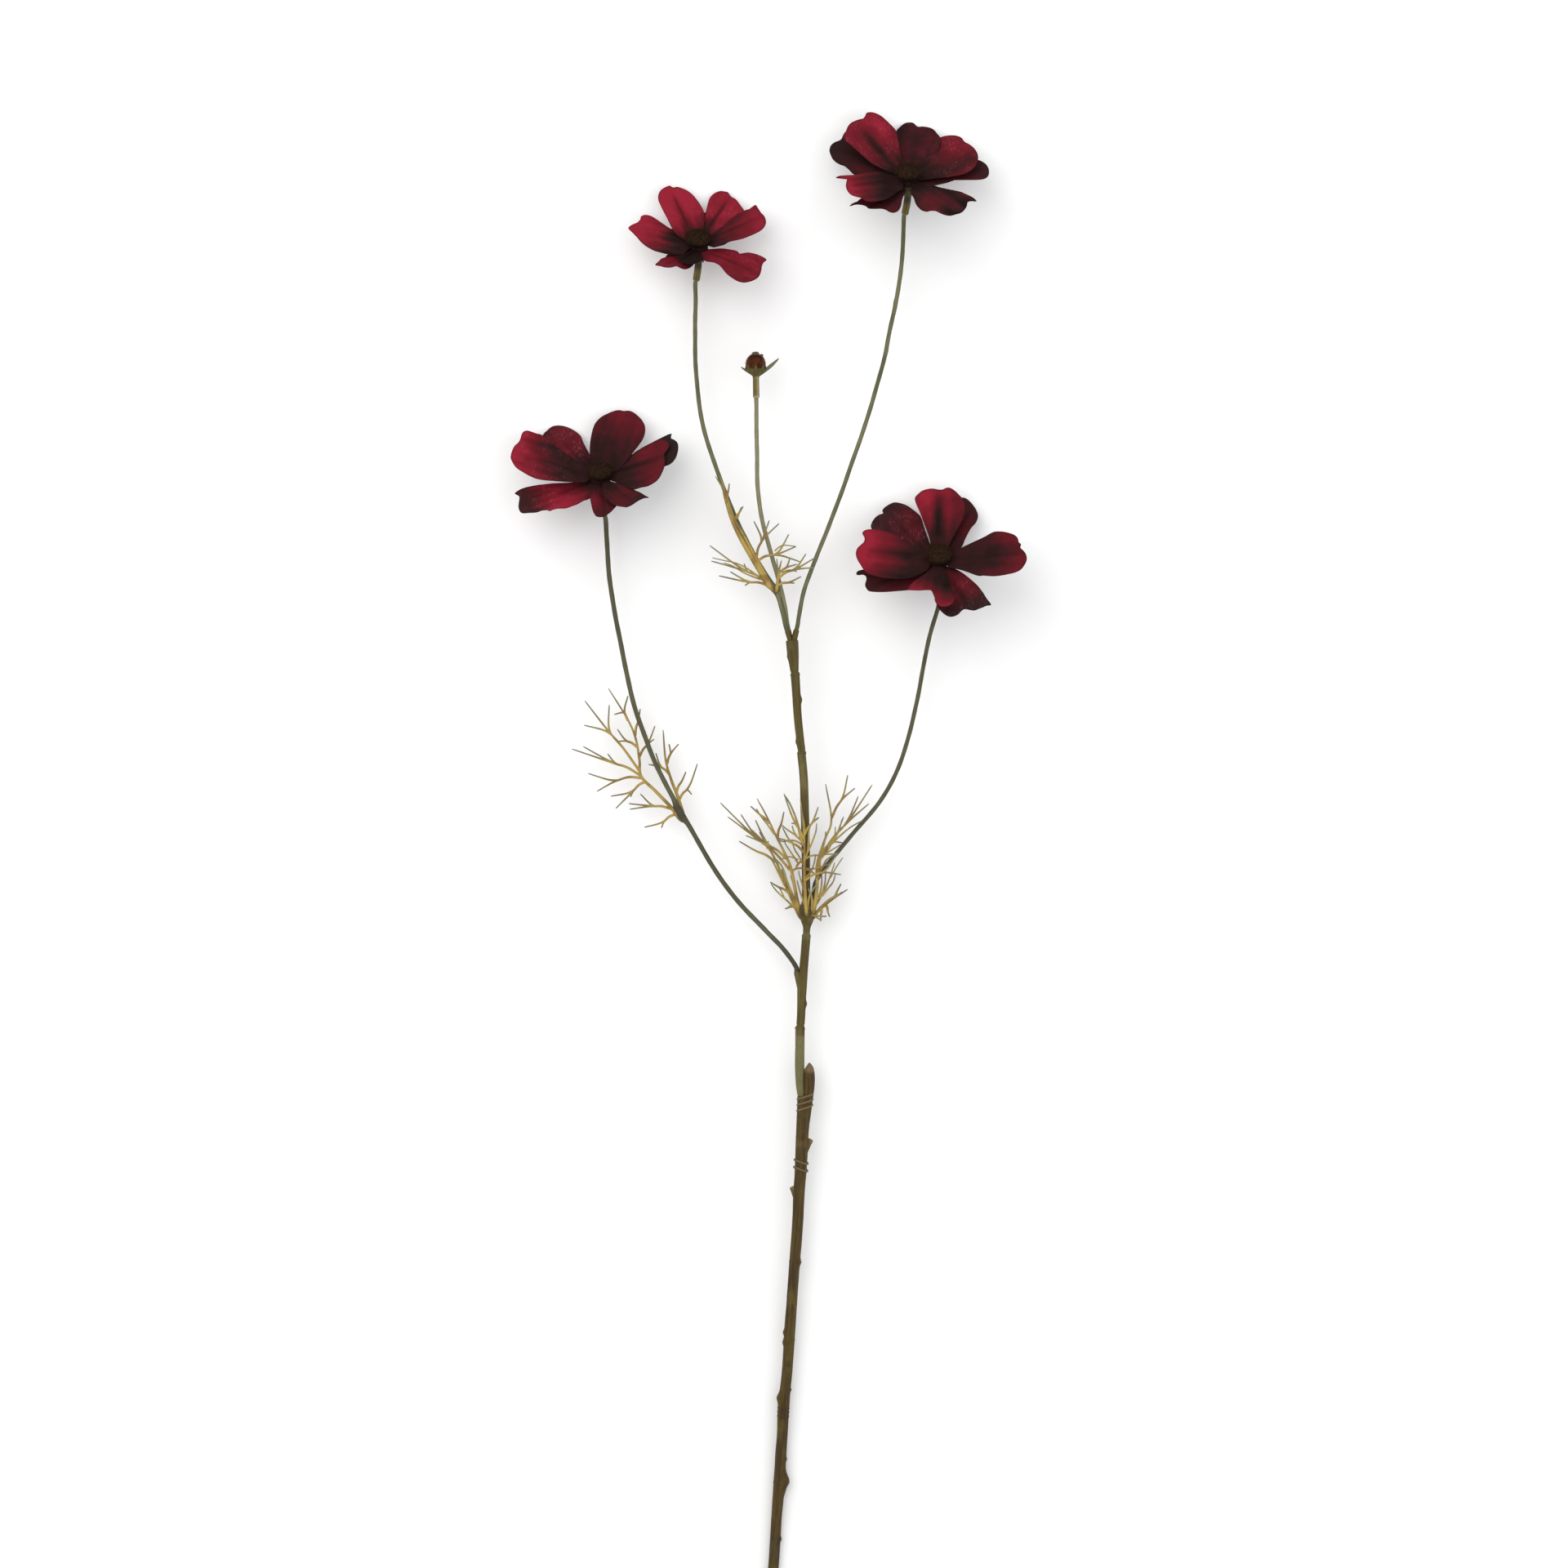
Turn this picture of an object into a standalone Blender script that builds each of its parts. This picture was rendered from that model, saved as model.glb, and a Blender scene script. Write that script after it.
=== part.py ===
"""A spray of cosmos with fabric blooms, lying on a flat surface.

One branching stem carries four blooms and a bud. The spray lies along +Y with its
cut end at the origin and its blooms facing up and away from that end. It touches
the surface at a flat spot under the cut end and at the lowest petals of two blooms.
Positions along the stem are read off a plan drawing: x to the right, y down.
"""
import math

import bmesh
import bpy
import numpy as np
from mathutils import Matrix, Vector

MM = 0.001

# The plan drawing: its scale, its middle, and the height that it is seen from.
UNIT = 0.36 * MM
MIDDLE = 960.0
EYE = Vector((5.98 * MM, 364.3 * MM, 1935.0 * MM))
DRAWN_HEIGHT = 15.0 * MM

# Gaps, thicknesses and common radii.
CLEARANCE = 0.3 * MM
WELD_DISTANCE = 0.01 * MM
SHARP_ANGLE = math.radians(40)
PETAL_THICKNESS = 0.6 * MM
STALK_RADIUS = 0.95 * MM
RIB_RADIUS = 0.8 * MM
TWIG_RADIUS = 0.6 * MM
FORK_RADIUS = 0.5 * MM
TIP_RADIUS = 0.3 * MM
TWIG_RISES = (0.6, 1.3, 1.9)

# Both ends of a stalk stay clear of what they meet, and run straight this far.
STALK_GAP = 0.35 * MM
STALK_STRAIGHT = 2.5 * MM
KNOB = (0.9 * MM, 1.5 * MM, 0.9 * MM)
KNOB_OFFSET = 0.8 * MM

# The main stem rises evenly from the flat spot to the fork at its top.
STEM_END_Y = 1984.0
LEVEL_UNTIL_Y = 1946.0
FORK_Y = 784.0
STEM_END_HEIGHT = 2.05 * MM
FORK_HEIGHT = 17.6 * MM

# The middle of a bloom: petals' hub, calyx cup below it and disc above it.
HUB_RADIUS = 4.3 * MM
HUB_BOTTOM = -0.8 * MM
HUB_TOP = 1.9 * MM
WHORL_STEP = 1.4 * MM
PETAL_START = 2.0 * MM

# Petals: lift over the bloom's plane, direction round the bloom, rise from that plane,
# bend towards the tip, length, and the outline on the drawing, clockwise from the foot and
# back to it. An outline has an odd number of places: the middle five are the petal's tip.
LOWER = 0.0
UPPER = WHORL_STEP
BLOOMS = {
    "a": {
        "at": (735, 588), "tilt": 52, "rest": 0.0, "neck": (740.3, 631), "drop": 9.0,
        "petals": [
            (LOWER, 126, 3, 16, 36.5, [
                (716, 580), (692, 566), (673, 550), (664, 538), (670, 527), (681, 521.2),
                (694, 522.8), (707, 530), (714, 541), (722, 556), (728, 570)]),
            (LOWER, 20, 11, 8, 35.5, [
                (752, 570), (785, 549), (809, 536.5), (822.6, 531.2), (821.6, 536.3),
                (829.5, 542), (830, 553), (824.5, 565), (812, 571.5), (782, 580), (756, 584)]),
            (LOWER, 196, -11, 2, 34.5, [
                (730, 604), (712, 614.5), (690, 622.5), (664, 625.2), (638, 628), (634.8, 621),
                (635.5, 614), (635, 607), (630.3, 604.3), (641, 597.8), (658, 594),
                (686, 592.5), (720, 588.5)]),
            (LOWER, 277, 6, 3, 35.5, [
                (750, 597), (757, 604), (759, 613), (753.5, 621.5), (743, 630.5), (731.5, 632.8),
                (725.2, 623), (722.5, 609), (724, 600)]),
            (UPPER, 165, 6, 16, 38.5, [
                (716, 591), (694, 590), (660, 587), (640, 578), (627.5, 566), (627, 552),
                (635, 541.5), (639, 531), (647, 527.5), (664, 533), (682, 548.5), (704, 562),
                (717, 570)]),
            (UPPER, 72, 14, 16, 36.0, [
                (727, 576), (722.5, 558), (722.5, 540), (727, 522), (737, 510), (751, 503.5), (764, 503),
                (774, 504), (786.5, 515), (789.8, 530), (782, 545.5), (769, 562), (756, 577)]),
            (UPPER, 8, 13, 5, 31.5, [
                (752, 574), (772, 558.5), (790, 547), (807, 538.8), (818, 541.5), (813.5, 556),
                (813.8, 571), (802, 590.5), (785, 597), (768, 597), (754, 590)]),
            (UPPER, 308, 8, -2, 33.5, [
                (752, 592.5), (766, 593.5), (784, 603), (794.6, 609.4), (784, 612), (768, 621),
                (756, 619.5), (743, 610), (737, 600)]),
        ],
    },
    "b": {
        "at": (855, 303), "tilt": 52, "rest": 0.4, "neck": (852.5, 343), "drop": 10.0,
        "petals": [
            (LOWER, 92, 3, 6, 27.0, [
                (847, 292), (847, 276), (852, 265), (858, 261), (864, 260.5), (871, 276), (867, 291)]),
            (LOWER, 329, -9, -6, 31.0, [
                (868, 304.8), (884, 304.3), (897, 306), (907, 310.5), (917, 309.5),
                (927, 311.5), (938.8, 318.2), (932, 330), (926, 341.5), (912, 346),
                (903, 344.5), (896, 340), (888, 332.5), (878, 323.5), (867, 320)]),
            (LOWER, 240, 2, 4, 27.5, [
                (853, 318), (846, 326.5), (836, 329.7), (821, 328), (811, 326.5), (802.3, 324.4),
                (807, 318.5), (813, 316), (820, 310.3), (829, 307), (843, 304.5)]),
            (LOWER, 272, 12, 8, 26.0, [
                (861, 315), (859, 319), (855, 321.5), (847, 323.5), (838, 322), (830.5, 317),
                (828.5, 311), (832, 306), (842, 303.5)]),
            (UPPER, 169, 4, 6, 30.0, [
                (836, 312), (817, 311), (800, 306.5), (784.5, 296), (769.3, 279.2), (781, 272),
                (784.6, 265.3), (795, 263.8), (807, 271), (820, 279.5), (838, 286)]),
            (UPPER, 113, 16, 12, 32.0, [
                (838, 294), (828, 287), (818, 270), (809, 253), (806, 241), (809, 233), (820, 227.3),
                (825.5, 229.8), (841, 233), (854, 245.5), (860, 255), (862.5, 270), (861, 288)]),
            (0.5 * UPPER, 65, 12, 12, 32.0, [
                (858, 290), (863.5, 263), (868.5, 243.5), (877, 235), (891.5, 235.5),
                (896, 241.3), (904, 247.5), (911, 258), (909, 266), (890, 283), (872, 292)]),
            (UPPER, 22, 13, 2, 31.5, [
                (872, 288), (900, 264), (913, 257), (925.2, 250.8), (932, 260.5), (938, 271),
                (932, 282), (917, 289.5), (900, 294.5), (886, 300), (874, 303)]),
        ],
    },
    "c": {
        "at": (1112, 222), "tilt": 52, "rest": 0.4, "neck": (1108, 262), "drop": 10.0,
        "petals": [
            (LOWER, 80, 7, 12, 37.0, [
                (1105, 208), (1100, 192), (1097.3, 178), (1096.8, 164), (1103, 154.5), (1114, 150),
                (1124, 155.3), (1137, 156), (1147, 163), (1151.5, 170), (1150, 182),
                (1142, 196), (1125, 211)]),
            (LOWER, 158, 4, 10, 36.5, [
                (1096, 222.5), (1078, 217), (1061, 215.5), (1046, 214), (1034, 205.5),
                (1021, 196), (1015.6, 184), (1021.5, 174.5), (1034, 164), (1048, 171),
                (1063, 183), (1082, 198), (1101, 213)]),
            (LOWER, 9, 0, 6, 35.5, [
                (1128, 213), (1150, 209), (1172, 203), (1190, 198), (1202, 197.5), (1209, 204),
                (1211, 211), (1206, 218.5), (1194, 220), (1177, 220), (1162, 223.3),
                (1146, 226.5), (1128, 225.5)]),
            (LOWER, 228, 0, -2, 32.5, [
                (1108, 236), (1105, 248), (1099.5, 258.5), (1090, 260), (1079, 255.6),
                (1064, 255.3), (1055, 251), (1040.2, 252.6), (1053.5, 243.5), (1078, 235),
                (1098, 228)]),
            (UPPER, 125, 15, 14, 38.0, [
                (1098, 214), (1066, 199), (1049, 184), (1035, 172), (1036, 160), (1045, 149),
                (1057, 145), (1061, 138.3), (1070, 137.7), (1083, 145), (1097, 160),
                (1099, 180), (1101, 205)]),
            (UPPER, 31, 4, 8, 33.5, [
                (1121, 209), (1130, 196), (1140, 181), (1149, 169.5), (1165, 165.7),
                (1177.5, 168.8), (1181, 173.5), (1193, 181.7), (1197.5, 194), (1190, 208),
                (1172, 215), (1145, 219), (1125, 222)]),
            (UPPER, 210, 5, 5, 31.0, [
                (1106, 231), (1092, 240), (1077, 246), (1060, 246), (1048, 240.8), (1038, 234),
                (1035.3, 228), (1036, 223.3), (1023.5, 217.6), (1034, 214.8), (1047, 214),
                (1060, 211.7), (1072, 210), (1088, 212), (1102, 217)]),
            (UPPER, 313, 0, 0, 35.0, [
                (1128, 224.5), (1144, 227.3), (1156, 233.7), (1176, 234.8), (1188, 240),
                (1195.8, 246.7), (1185, 247.5), (1181, 257), (1170, 262.7), (1158, 263.5),
                (1146, 258.6), (1135, 259.2), (1124, 253.5), (1119, 243), (1115.5, 235)]),
        ],
    },
    "d": {
        "at": (1149, 688), "tilt": 42, "rest": 0.0, "neck": (1148.7, 737), "drop": 10.5,
        "petals": [
            (LOWER, 71, -2, 8, 34.5, [
                (1152, 672), (1160, 650), (1168, 628), (1173, 613), (1180, 609.5), (1190, 616),
                (1195, 623),
                (1197.3, 631), (1190, 645.5), (1181.5, 661), (1168, 680)]),
            (LOWER, 128, 2, 10, 37.5, [
                (1132, 682), (1108, 668), (1086, 655), (1068, 648), (1070, 636),
                (1081.5, 628.5), (1081, 623), (1092, 616), (1104, 616.3), (1117, 623.3),
                (1128, 634), (1133, 652), (1142, 674)]),
            (LOWER, 292, 3, 0, 34.0, [
                (1166, 695), (1182, 704), (1197, 717), (1208, 732.5), (1213.7, 740.5),
                (1203, 744), (1193, 747.6), (1179, 747), (1169, 755), (1157, 752.5),
                (1147, 741), (1145, 724), (1152, 702)]),
            (LOWER, 198, -6, 4, 34.0, [
                (1142, 706), (1133, 716), (1122, 721.5), (1108, 723), (1085, 725), (1066, 724.3),
                (1059.2, 716), (1059, 704.5), (1048.6, 703), (1056, 697.7), (1085, 695),
                (1112, 692), (1134, 690)]),
            (UPPER, 177, 4, 10, 35.0, [
                (1136, 698), (1122, 705), (1108, 708.5), (1092, 708.3), (1077, 706.5), (1060, 701),
                (1050, 685.5), (1049, 672.5), (1058.8, 660.5), (1055.8, 652.5), (1066, 648),
                (1085, 651), (1106, 661), (1120, 668), (1137, 677)]),
            (UPPER, 90, 10, 12, 35.0, [
                (1141, 674), (1133, 645), (1127, 629), (1120.5, 612), (1127, 602.5),
                (1141, 598.2), (1153, 599.4), (1162, 597), (1173, 604.5), (1181.5, 618),
                (1177, 639), (1169, 654), (1160, 672)]),
            (UPPER, 352, 12, 6, 38.0, [
                (1160, 680), (1171, 673), (1185, 667), (1200, 660), (1217, 651), (1236, 652.7),
                (1246, 659), (1250.5, 669), (1257.3, 685), (1250.5, 697), (1235, 703),
                (1215, 705.6), (1195, 704.5), (1175, 697.5), (1162, 695)]),
            (UPPER, 275, 11, 8, 36.0, [
                (1160, 702), (1164, 715), (1168.5, 733), (1162, 742), (1150, 741.5),
                (1144, 731), (1138, 722.5), (1112, 722), (1119, 712), (1130, 706),
                (1140, 698)]),
        ],
    },
}

# A petal's half width at its foot, and the cup across it and the waves of its edge.
FOOT_HALF = 1.2 * MM
TIP_SPANS = 4
EVENING_ROUNDS = 20
CUP = 0.12
WAVE = 0.4 * MM

# Stumps on the upper stem that the stalks stand on: start and end on the plan, each with
# its height above the stem's middle line in millimetres, and the radius in millimetres.
STUMPS = {
    "a": ((981, 1216, 0.0), (975.2, 1189, 0.0), 1.3),
    "d": ((989, 1116, 0.0), (992.8, 1104, -2.4), 1.35),
    "b": ((969, 790, 0.6), (963.3, 771, 1.1), 1.05),
    "bud": ((970, 790, -0.6), (965.6, 771, -1.2), 1.05),
    "c": ((971, 790, 0.0), (975.3, 771, 0.0), 1.3),
}

# Routes of the stalks on the plan, from the stem to the bloom or the bud.
STALK_A = [(957.5, 1160), (938, 1140), (900.5, 1100), (872, 1060), (849, 1020),
           (826, 980), (805, 940), (789, 900), (775.5, 860), (766.5, 820), (758.5, 780),
           (751, 740), (745.5, 700), (743, 660)]
STALK_B = [(957, 745), (949, 722), (926, 684), (903.5, 640), (887, 600),
           (872.5, 560), (860.5, 520), (854.5, 480), (851.5, 440), (851.2, 400), (851.8, 370)]
STALK_BUD = [(961, 742), (955.5, 718), (946, 684), (934, 640), (928, 600),
             (927, 560), (926.3, 520)]
STALK_C = [(976, 754), (985, 720), (1000.5, 680), (1016.5, 640), (1031.5, 600),
           (1045.5, 560), (1059.5, 520), (1071.5, 480), (1082.5, 440), (1090.5, 400),
           (1099, 360), (1105, 312)]
STALK_D = [(999, 1080), (1012, 1060), (1045, 1020), (1078.5, 980), (1100, 940),
           (1113, 900), (1122.5, 860), (1130, 820), (1138, 780)]

# Leaves: the rib as plan positions with heights, how the twigs rise, then twigs as the share
# of the rib where each one starts, where it forks, and the plan positions of its tips.
LEAVES = {
    "leaf_low_front": {
        "rise": -0.5,
        "rib": [(832.5, 1003, 12.3), (822, 989, 11.9), (803, 969, 11.4), (785, 950.5, 11.0),
                (783, 930, 10.9), (778, 903, 10.9), (768, 880, 11.0), (745, 843, 11.4)],
        "twigs": [
            (0.04, 0.50, [(789, 1013), (810, 1014)]),
            (0.08, 0.45, [(770, 984), (784, 972), (771, 991)]),
            (0.33, 0.45, [(748, 975), (754, 990), (772, 976)]),
            (0.36, 0.50, [(720, 947), (731, 969)]),
            (0.38, 0.45, [(700, 917), (714, 914), (744, 923)]),
            (0.40, 0.62, [(716, 858), (746, 863), (715, 888)]),
            (0.50, 0.50, [(802, 889), (801, 905)]),
            (0.57, 0.50, [(756, 893), (756, 908)]),
            (0.64, 0.50, [(784, 868)]),
            (0.75, 0.50, [(752, 875), (769, 852)]),
        ],
    },
    "leaf_low_back": {
        "rise": 1.0,
        "rib": [(835, 992, 10.75), (829, 973, 10.2), (822, 955, 9.8), (815, 930, 9.6),
                (812, 894, 9.4)],
        "twigs": [
            (0.12, 0.50, [(854, 935), (847, 973)]),
            (0.22, 0.50, [(840, 945)]),
            (0.45, 0.45, [(794, 936), (803, 922)]),
            (0.58, 0.50, [(819, 911), (831, 911)]),
        ],
    },
    "leaf_middle_left": {
        "rise": 1.0,
        "rib": [(977.4, 1112, 13.4), (972, 1080, 15.0), (966, 1056, 16.0), (950, 1023, 17.0),
                (938, 998, 17.6), (927, 978, 18.0)],
        "twigs": [
            (0.32, 0.50, [(882, 983), (891, 1000), (907, 997)]),
            (0.42, 0.50, [(913, 1023), (930, 1015)]),
            (0.62, 0.50, [(960, 994)]),
            (0.76, 0.50, [(919, 987)]),
        ],
    },
    "leaf_middle_left_low": {
        "rise": 1.0,
        "rib": [(977.7, 1119, 12.6), (964, 1088, 12.2), (948, 1050, 12.0), (934, 1030, 11.6),
                (916, 1012, 11.2)],
        "twigs": [
            (0.10, 0.50, [(961, 1113)]),
            (0.22, 0.50, [(943, 1080)]),
            (0.55, 0.50, [(905, 1030)]),
            (0.70, 0.50, [(925, 1004)]),
        ],
    },
    "leaf_middle_front": {
        "rise": 1.0,
        "rib": [(987, 1112, 17.35), (985, 1075, 17.8), (985, 1035, 18.4), (984, 1016, 18.8),
                (980, 978, 19.4)],
        "twigs": [
            (0.25, 0.50, [(1025, 1046), (1030, 1071)]),
            (0.50, 0.50, [(952, 1026), (958, 1013)]),
            (0.62, 0.50, [(960, 972), (969, 1008)]),
            (0.66, 0.50, [(1002, 988), (1003, 1001)]),
        ],
    },
    "leaf_middle_right": {
        "rise": 1.0,
        "rib": [(997, 1112, 16.1), (1000.5, 1085, 16.0), (1001, 1057, 15.4), (1010, 1028, 15.8),
                (1018, 1004, 16.4), (1011, 960, 17.0)],
        "twigs": [
            (0.36, 0.55, [(1068, 961), (1051, 975), (1064, 984)]),
            (0.42, 0.50, [(1033, 1000), (1032, 1032)]),
            (0.72, 0.50, [(1038, 949), (1047, 965)]),
        ],
    },
    "leaf_middle_right_low": {
        "rise": 1.0,
        "rib": [(1000.2, 1117, 12.4), (1018, 1102, 12.2), (1038, 1089, 12.0)],
        "twigs": [
            (0.15, 0.50, [(1005, 1128)]),
            (0.30, 0.50, [(1016, 1123)]),
            (0.55, 0.50, [(1030, 1082)]),
        ],
    },
    "leaf_top_left": {
        "rise": 1.0,
        "rib": [(945.3, 721.5, 19.35), (938, 706, 19.5), (926, 684, 19.3), (912, 658, 18.9),
                (899, 635, 18.5), (889, 606, 18.2), (876, 583, 18.4)],
        "twigs": [
            (0.04, 0.45, [(869, 668), (871, 687), (911, 690)]),
            (0.02, 0.50, [(880, 705), (894, 700), (912, 717)]),
            (0.27, 0.45, [(923, 638), (942, 637), (954, 641)]),
            (0.25, 0.45, [(966, 654), (975, 669), (980, 688)]),
            (0.62, 0.50, [(910, 620)]),
            (0.80, 0.50, [(893, 592)]),
        ],
    },
    "leaf_top_right": {
        "rise": 1.0,
        "rib": [(951.3, 720.5, 19.35), (952.5, 708, 20.6), (953.5, 700, 21.2), (957, 686, 21.6)],
        "twigs": [
            (0.10, 0.50, [(981, 706), (973, 714)]),
            (0.35, 0.45, [(998, 683), (997, 695), (987, 678)]),
            (0.50, 0.50, [(967, 684), (976, 691)]),
        ],
    },
}

# Colours and roughness of the materials.
SLOTS = {
    "petal_fabric": ((0.30, 0.012, 0.035), 0.75),
    "disc_flock": ((0.035, 0.022, 0.010), 0.95),
    "brown_stem": ((0.14, 0.095, 0.045), 0.62),
    "olive_stem": ((0.16, 0.145, 0.075), 0.60),
    "olive_stalk": ((0.19, 0.19, 0.11), 0.60),
    "calyx_green": ((0.25, 0.19, 0.035), 0.55),
    "leaf_ochre": ((0.47, 0.33, 0.09), 0.60),
    "bud_flock": ((0.22, 0.07, 0.045), 0.95),
}


def plan(x, y, height):
    """A place on the drawing at a height, in metres; higher places are drawn further out."""
    spread = (EYE.z - height) / (EYE.z - DRAWN_HEIGHT) * UNIT
    return Vector((EYE.x + (x - MIDDLE) * spread, EYE.y - (y - MIDDLE) * spread, height))


def stem_height(y):
    """Height of the main stem's middle line at a place down the drawing."""
    share = (LEVEL_UNTIL_Y - y) / (LEVEL_UNTIL_Y - FORK_Y)
    return STEM_END_HEIGHT + (FORK_HEIGHT - STEM_END_HEIGHT) * max(share, 0.0)


def on_stem(x, y, above=0.0):
    """A place on the drawing at the height of the main stem's middle line, or above it."""
    return plan(x, y, stem_height(y) + above)


def new_object(name, mesh):
    piece = bpy.data.objects.new(name, mesh)
    bpy.context.scene.collection.objects.link(piece)
    return piece


def move_to(piece, home):
    for place in piece.users_collection:
        place.objects.unlink(piece)
    home.objects.link(piece)


def as_mesh(piece, weld=False):
    """The object with its modifiers or bevel made into a plain closed mesh."""
    bpy.context.view_layer.update()
    graph = bpy.context.evaluated_depsgraph_get()
    mesh = bpy.data.meshes.new_from_object(piece.evaluated_get(graph))
    solid = bmesh.new()
    solid.from_mesh(mesh)
    if weld:
        bmesh.ops.remove_doubles(solid, verts=solid.verts, dist=WELD_DISTANCE)
    solid.transform(piece.matrix_world)
    solid.to_mesh(mesh)
    solid.free()
    result = new_object(piece.name + "_solid", mesh)
    data = piece.data
    bpy.data.objects.remove(piece)
    if isinstance(data, bpy.types.Curve):
        bpy.data.curves.remove(data)
    return result


def tube(points, radii, resolution=2):
    """A round rod through the points, with closed ends."""
    curve = bpy.data.curves.new("rod", "CURVE")
    curve.dimensions = "3D"
    curve.fill_mode = "FULL"
    curve.bevel_depth = 1.0 * MM
    curve.bevel_resolution = resolution
    curve.use_fill_caps = True
    spline = curve.splines.new("POLY")
    spline.points.add(len(points) - 1)
    for knot, point, radius in zip(spline.points, points, radii):
        knot.co = (*point, 1.0)
        knot.radius = radius / curve.bevel_depth
    return as_mesh(new_object("rod", curve), weld=True)


def smooth(points, per_span):
    """Points along the smooth curve that passes through the given ones."""
    ends = [points[0] * 2 - points[1]] + points + [points[-1] * 2 - points[-2]]
    route = []
    for before, start, end, after in zip(ends, ends[1:], ends[2:], ends[3:]):
        for step in range(per_span):
            t = step / per_span
            route.append(0.5 * (2 * start + (end - before) * t
                                + (2 * before - 5 * start + 4 * end - after) * t * t
                                + (3 * start - before - 3 * end + after) * t ** 3))
    return route + [points[-1]]


def turned(profile, steps, place):
    """A turned shape from (radius, height) pairs, set at a place in space."""
    mesh = bpy.data.meshes.new("turned")
    mesh.from_pydata([(radius, 0.0, height) for radius, height in profile],
                     [(i, i + 1) for i in range(len(profile) - 1)], [])
    piece = new_object("turned", mesh)
    screw = piece.modifiers.new("Turn", "SCREW")
    screw.steps = steps
    screw.render_steps = steps
    screw.use_merge_vertices = True
    screw.merge_threshold = WELD_DISTANCE
    piece.matrix_world = place
    return as_mesh(piece, weld=True)


def ball(centre, radii, level=1):
    """A rounded knob."""
    shape = bmesh.new()
    bmesh.ops.create_icosphere(shape, subdivisions=level, radius=1.0)
    shape.transform(Matrix.Translation(centre) @ Matrix.Diagonal((*radii, 1.0)))
    mesh = bpy.data.meshes.new("knob")
    shape.to_mesh(mesh)
    shape.free()
    return new_object("knob", mesh)


def ring(centre, axis, radius, thickness, segments=12):
    """A round ring about an axis."""
    bpy.ops.mesh.primitive_torus_add(major_radius=radius, minor_radius=thickness,
                                     major_segments=segments, minor_segments=4)
    piece = bpy.context.object
    piece.matrix_world = facing(centre, axis)
    return as_mesh(piece)


def facing(centre, axis):
    """The placement that turns +Z to the axis and moves the origin to the centre."""
    turn = Vector((0, 0, 1)).rotation_difference(axis)
    return Matrix.Translation(centre) @ turn.to_matrix().to_4x4()


def fuse(name, pieces, slot, origin=Vector((0, 0, 0)), cut=None):
    """One solid from overlapping pieces, as a named object with its material."""
    first, rest = pieces[0], pieces[1:]
    if rest:
        others = bpy.data.collections.new("joined")
        for piece in rest:
            others.objects.link(piece)
        union = first.modifiers.new("Join", "BOOLEAN")
        union.operation = "UNION"
        union.operand_type = "COLLECTION"
        union.collection = others
        first = as_mesh(first)
        for piece in list(others.objects):
            bpy.data.objects.remove(piece)
        bpy.data.collections.remove(others)
    if cut:
        trim = first.modifiers.new("Cut", "BOOLEAN")
        trim.operation = "DIFFERENCE"
        trim.object = cut
        first = as_mesh(first)
    first.data.transform(Matrix.Translation(-origin))
    first.location = origin
    first.name = name
    first.data.name = name
    first.data.materials.clear()
    first.data.materials.append(MATERIALS[slot])
    first.data.shade_smooth()
    first.data.set_sharp_from_angle(angle=SHARP_ANGLE)
    move_to(first, SPRAY)
    return first


def bloom_axes(tilt):
    """Right, outward and facing directions of a bloom that faces up and away."""
    lean = math.radians(tilt)
    facing_way = Vector((0.0, math.sin(lean), math.cos(lean)))
    right = Vector((1.0, 0.0, 0.0))
    return right, facing_way.cross(right), facing_way


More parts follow.
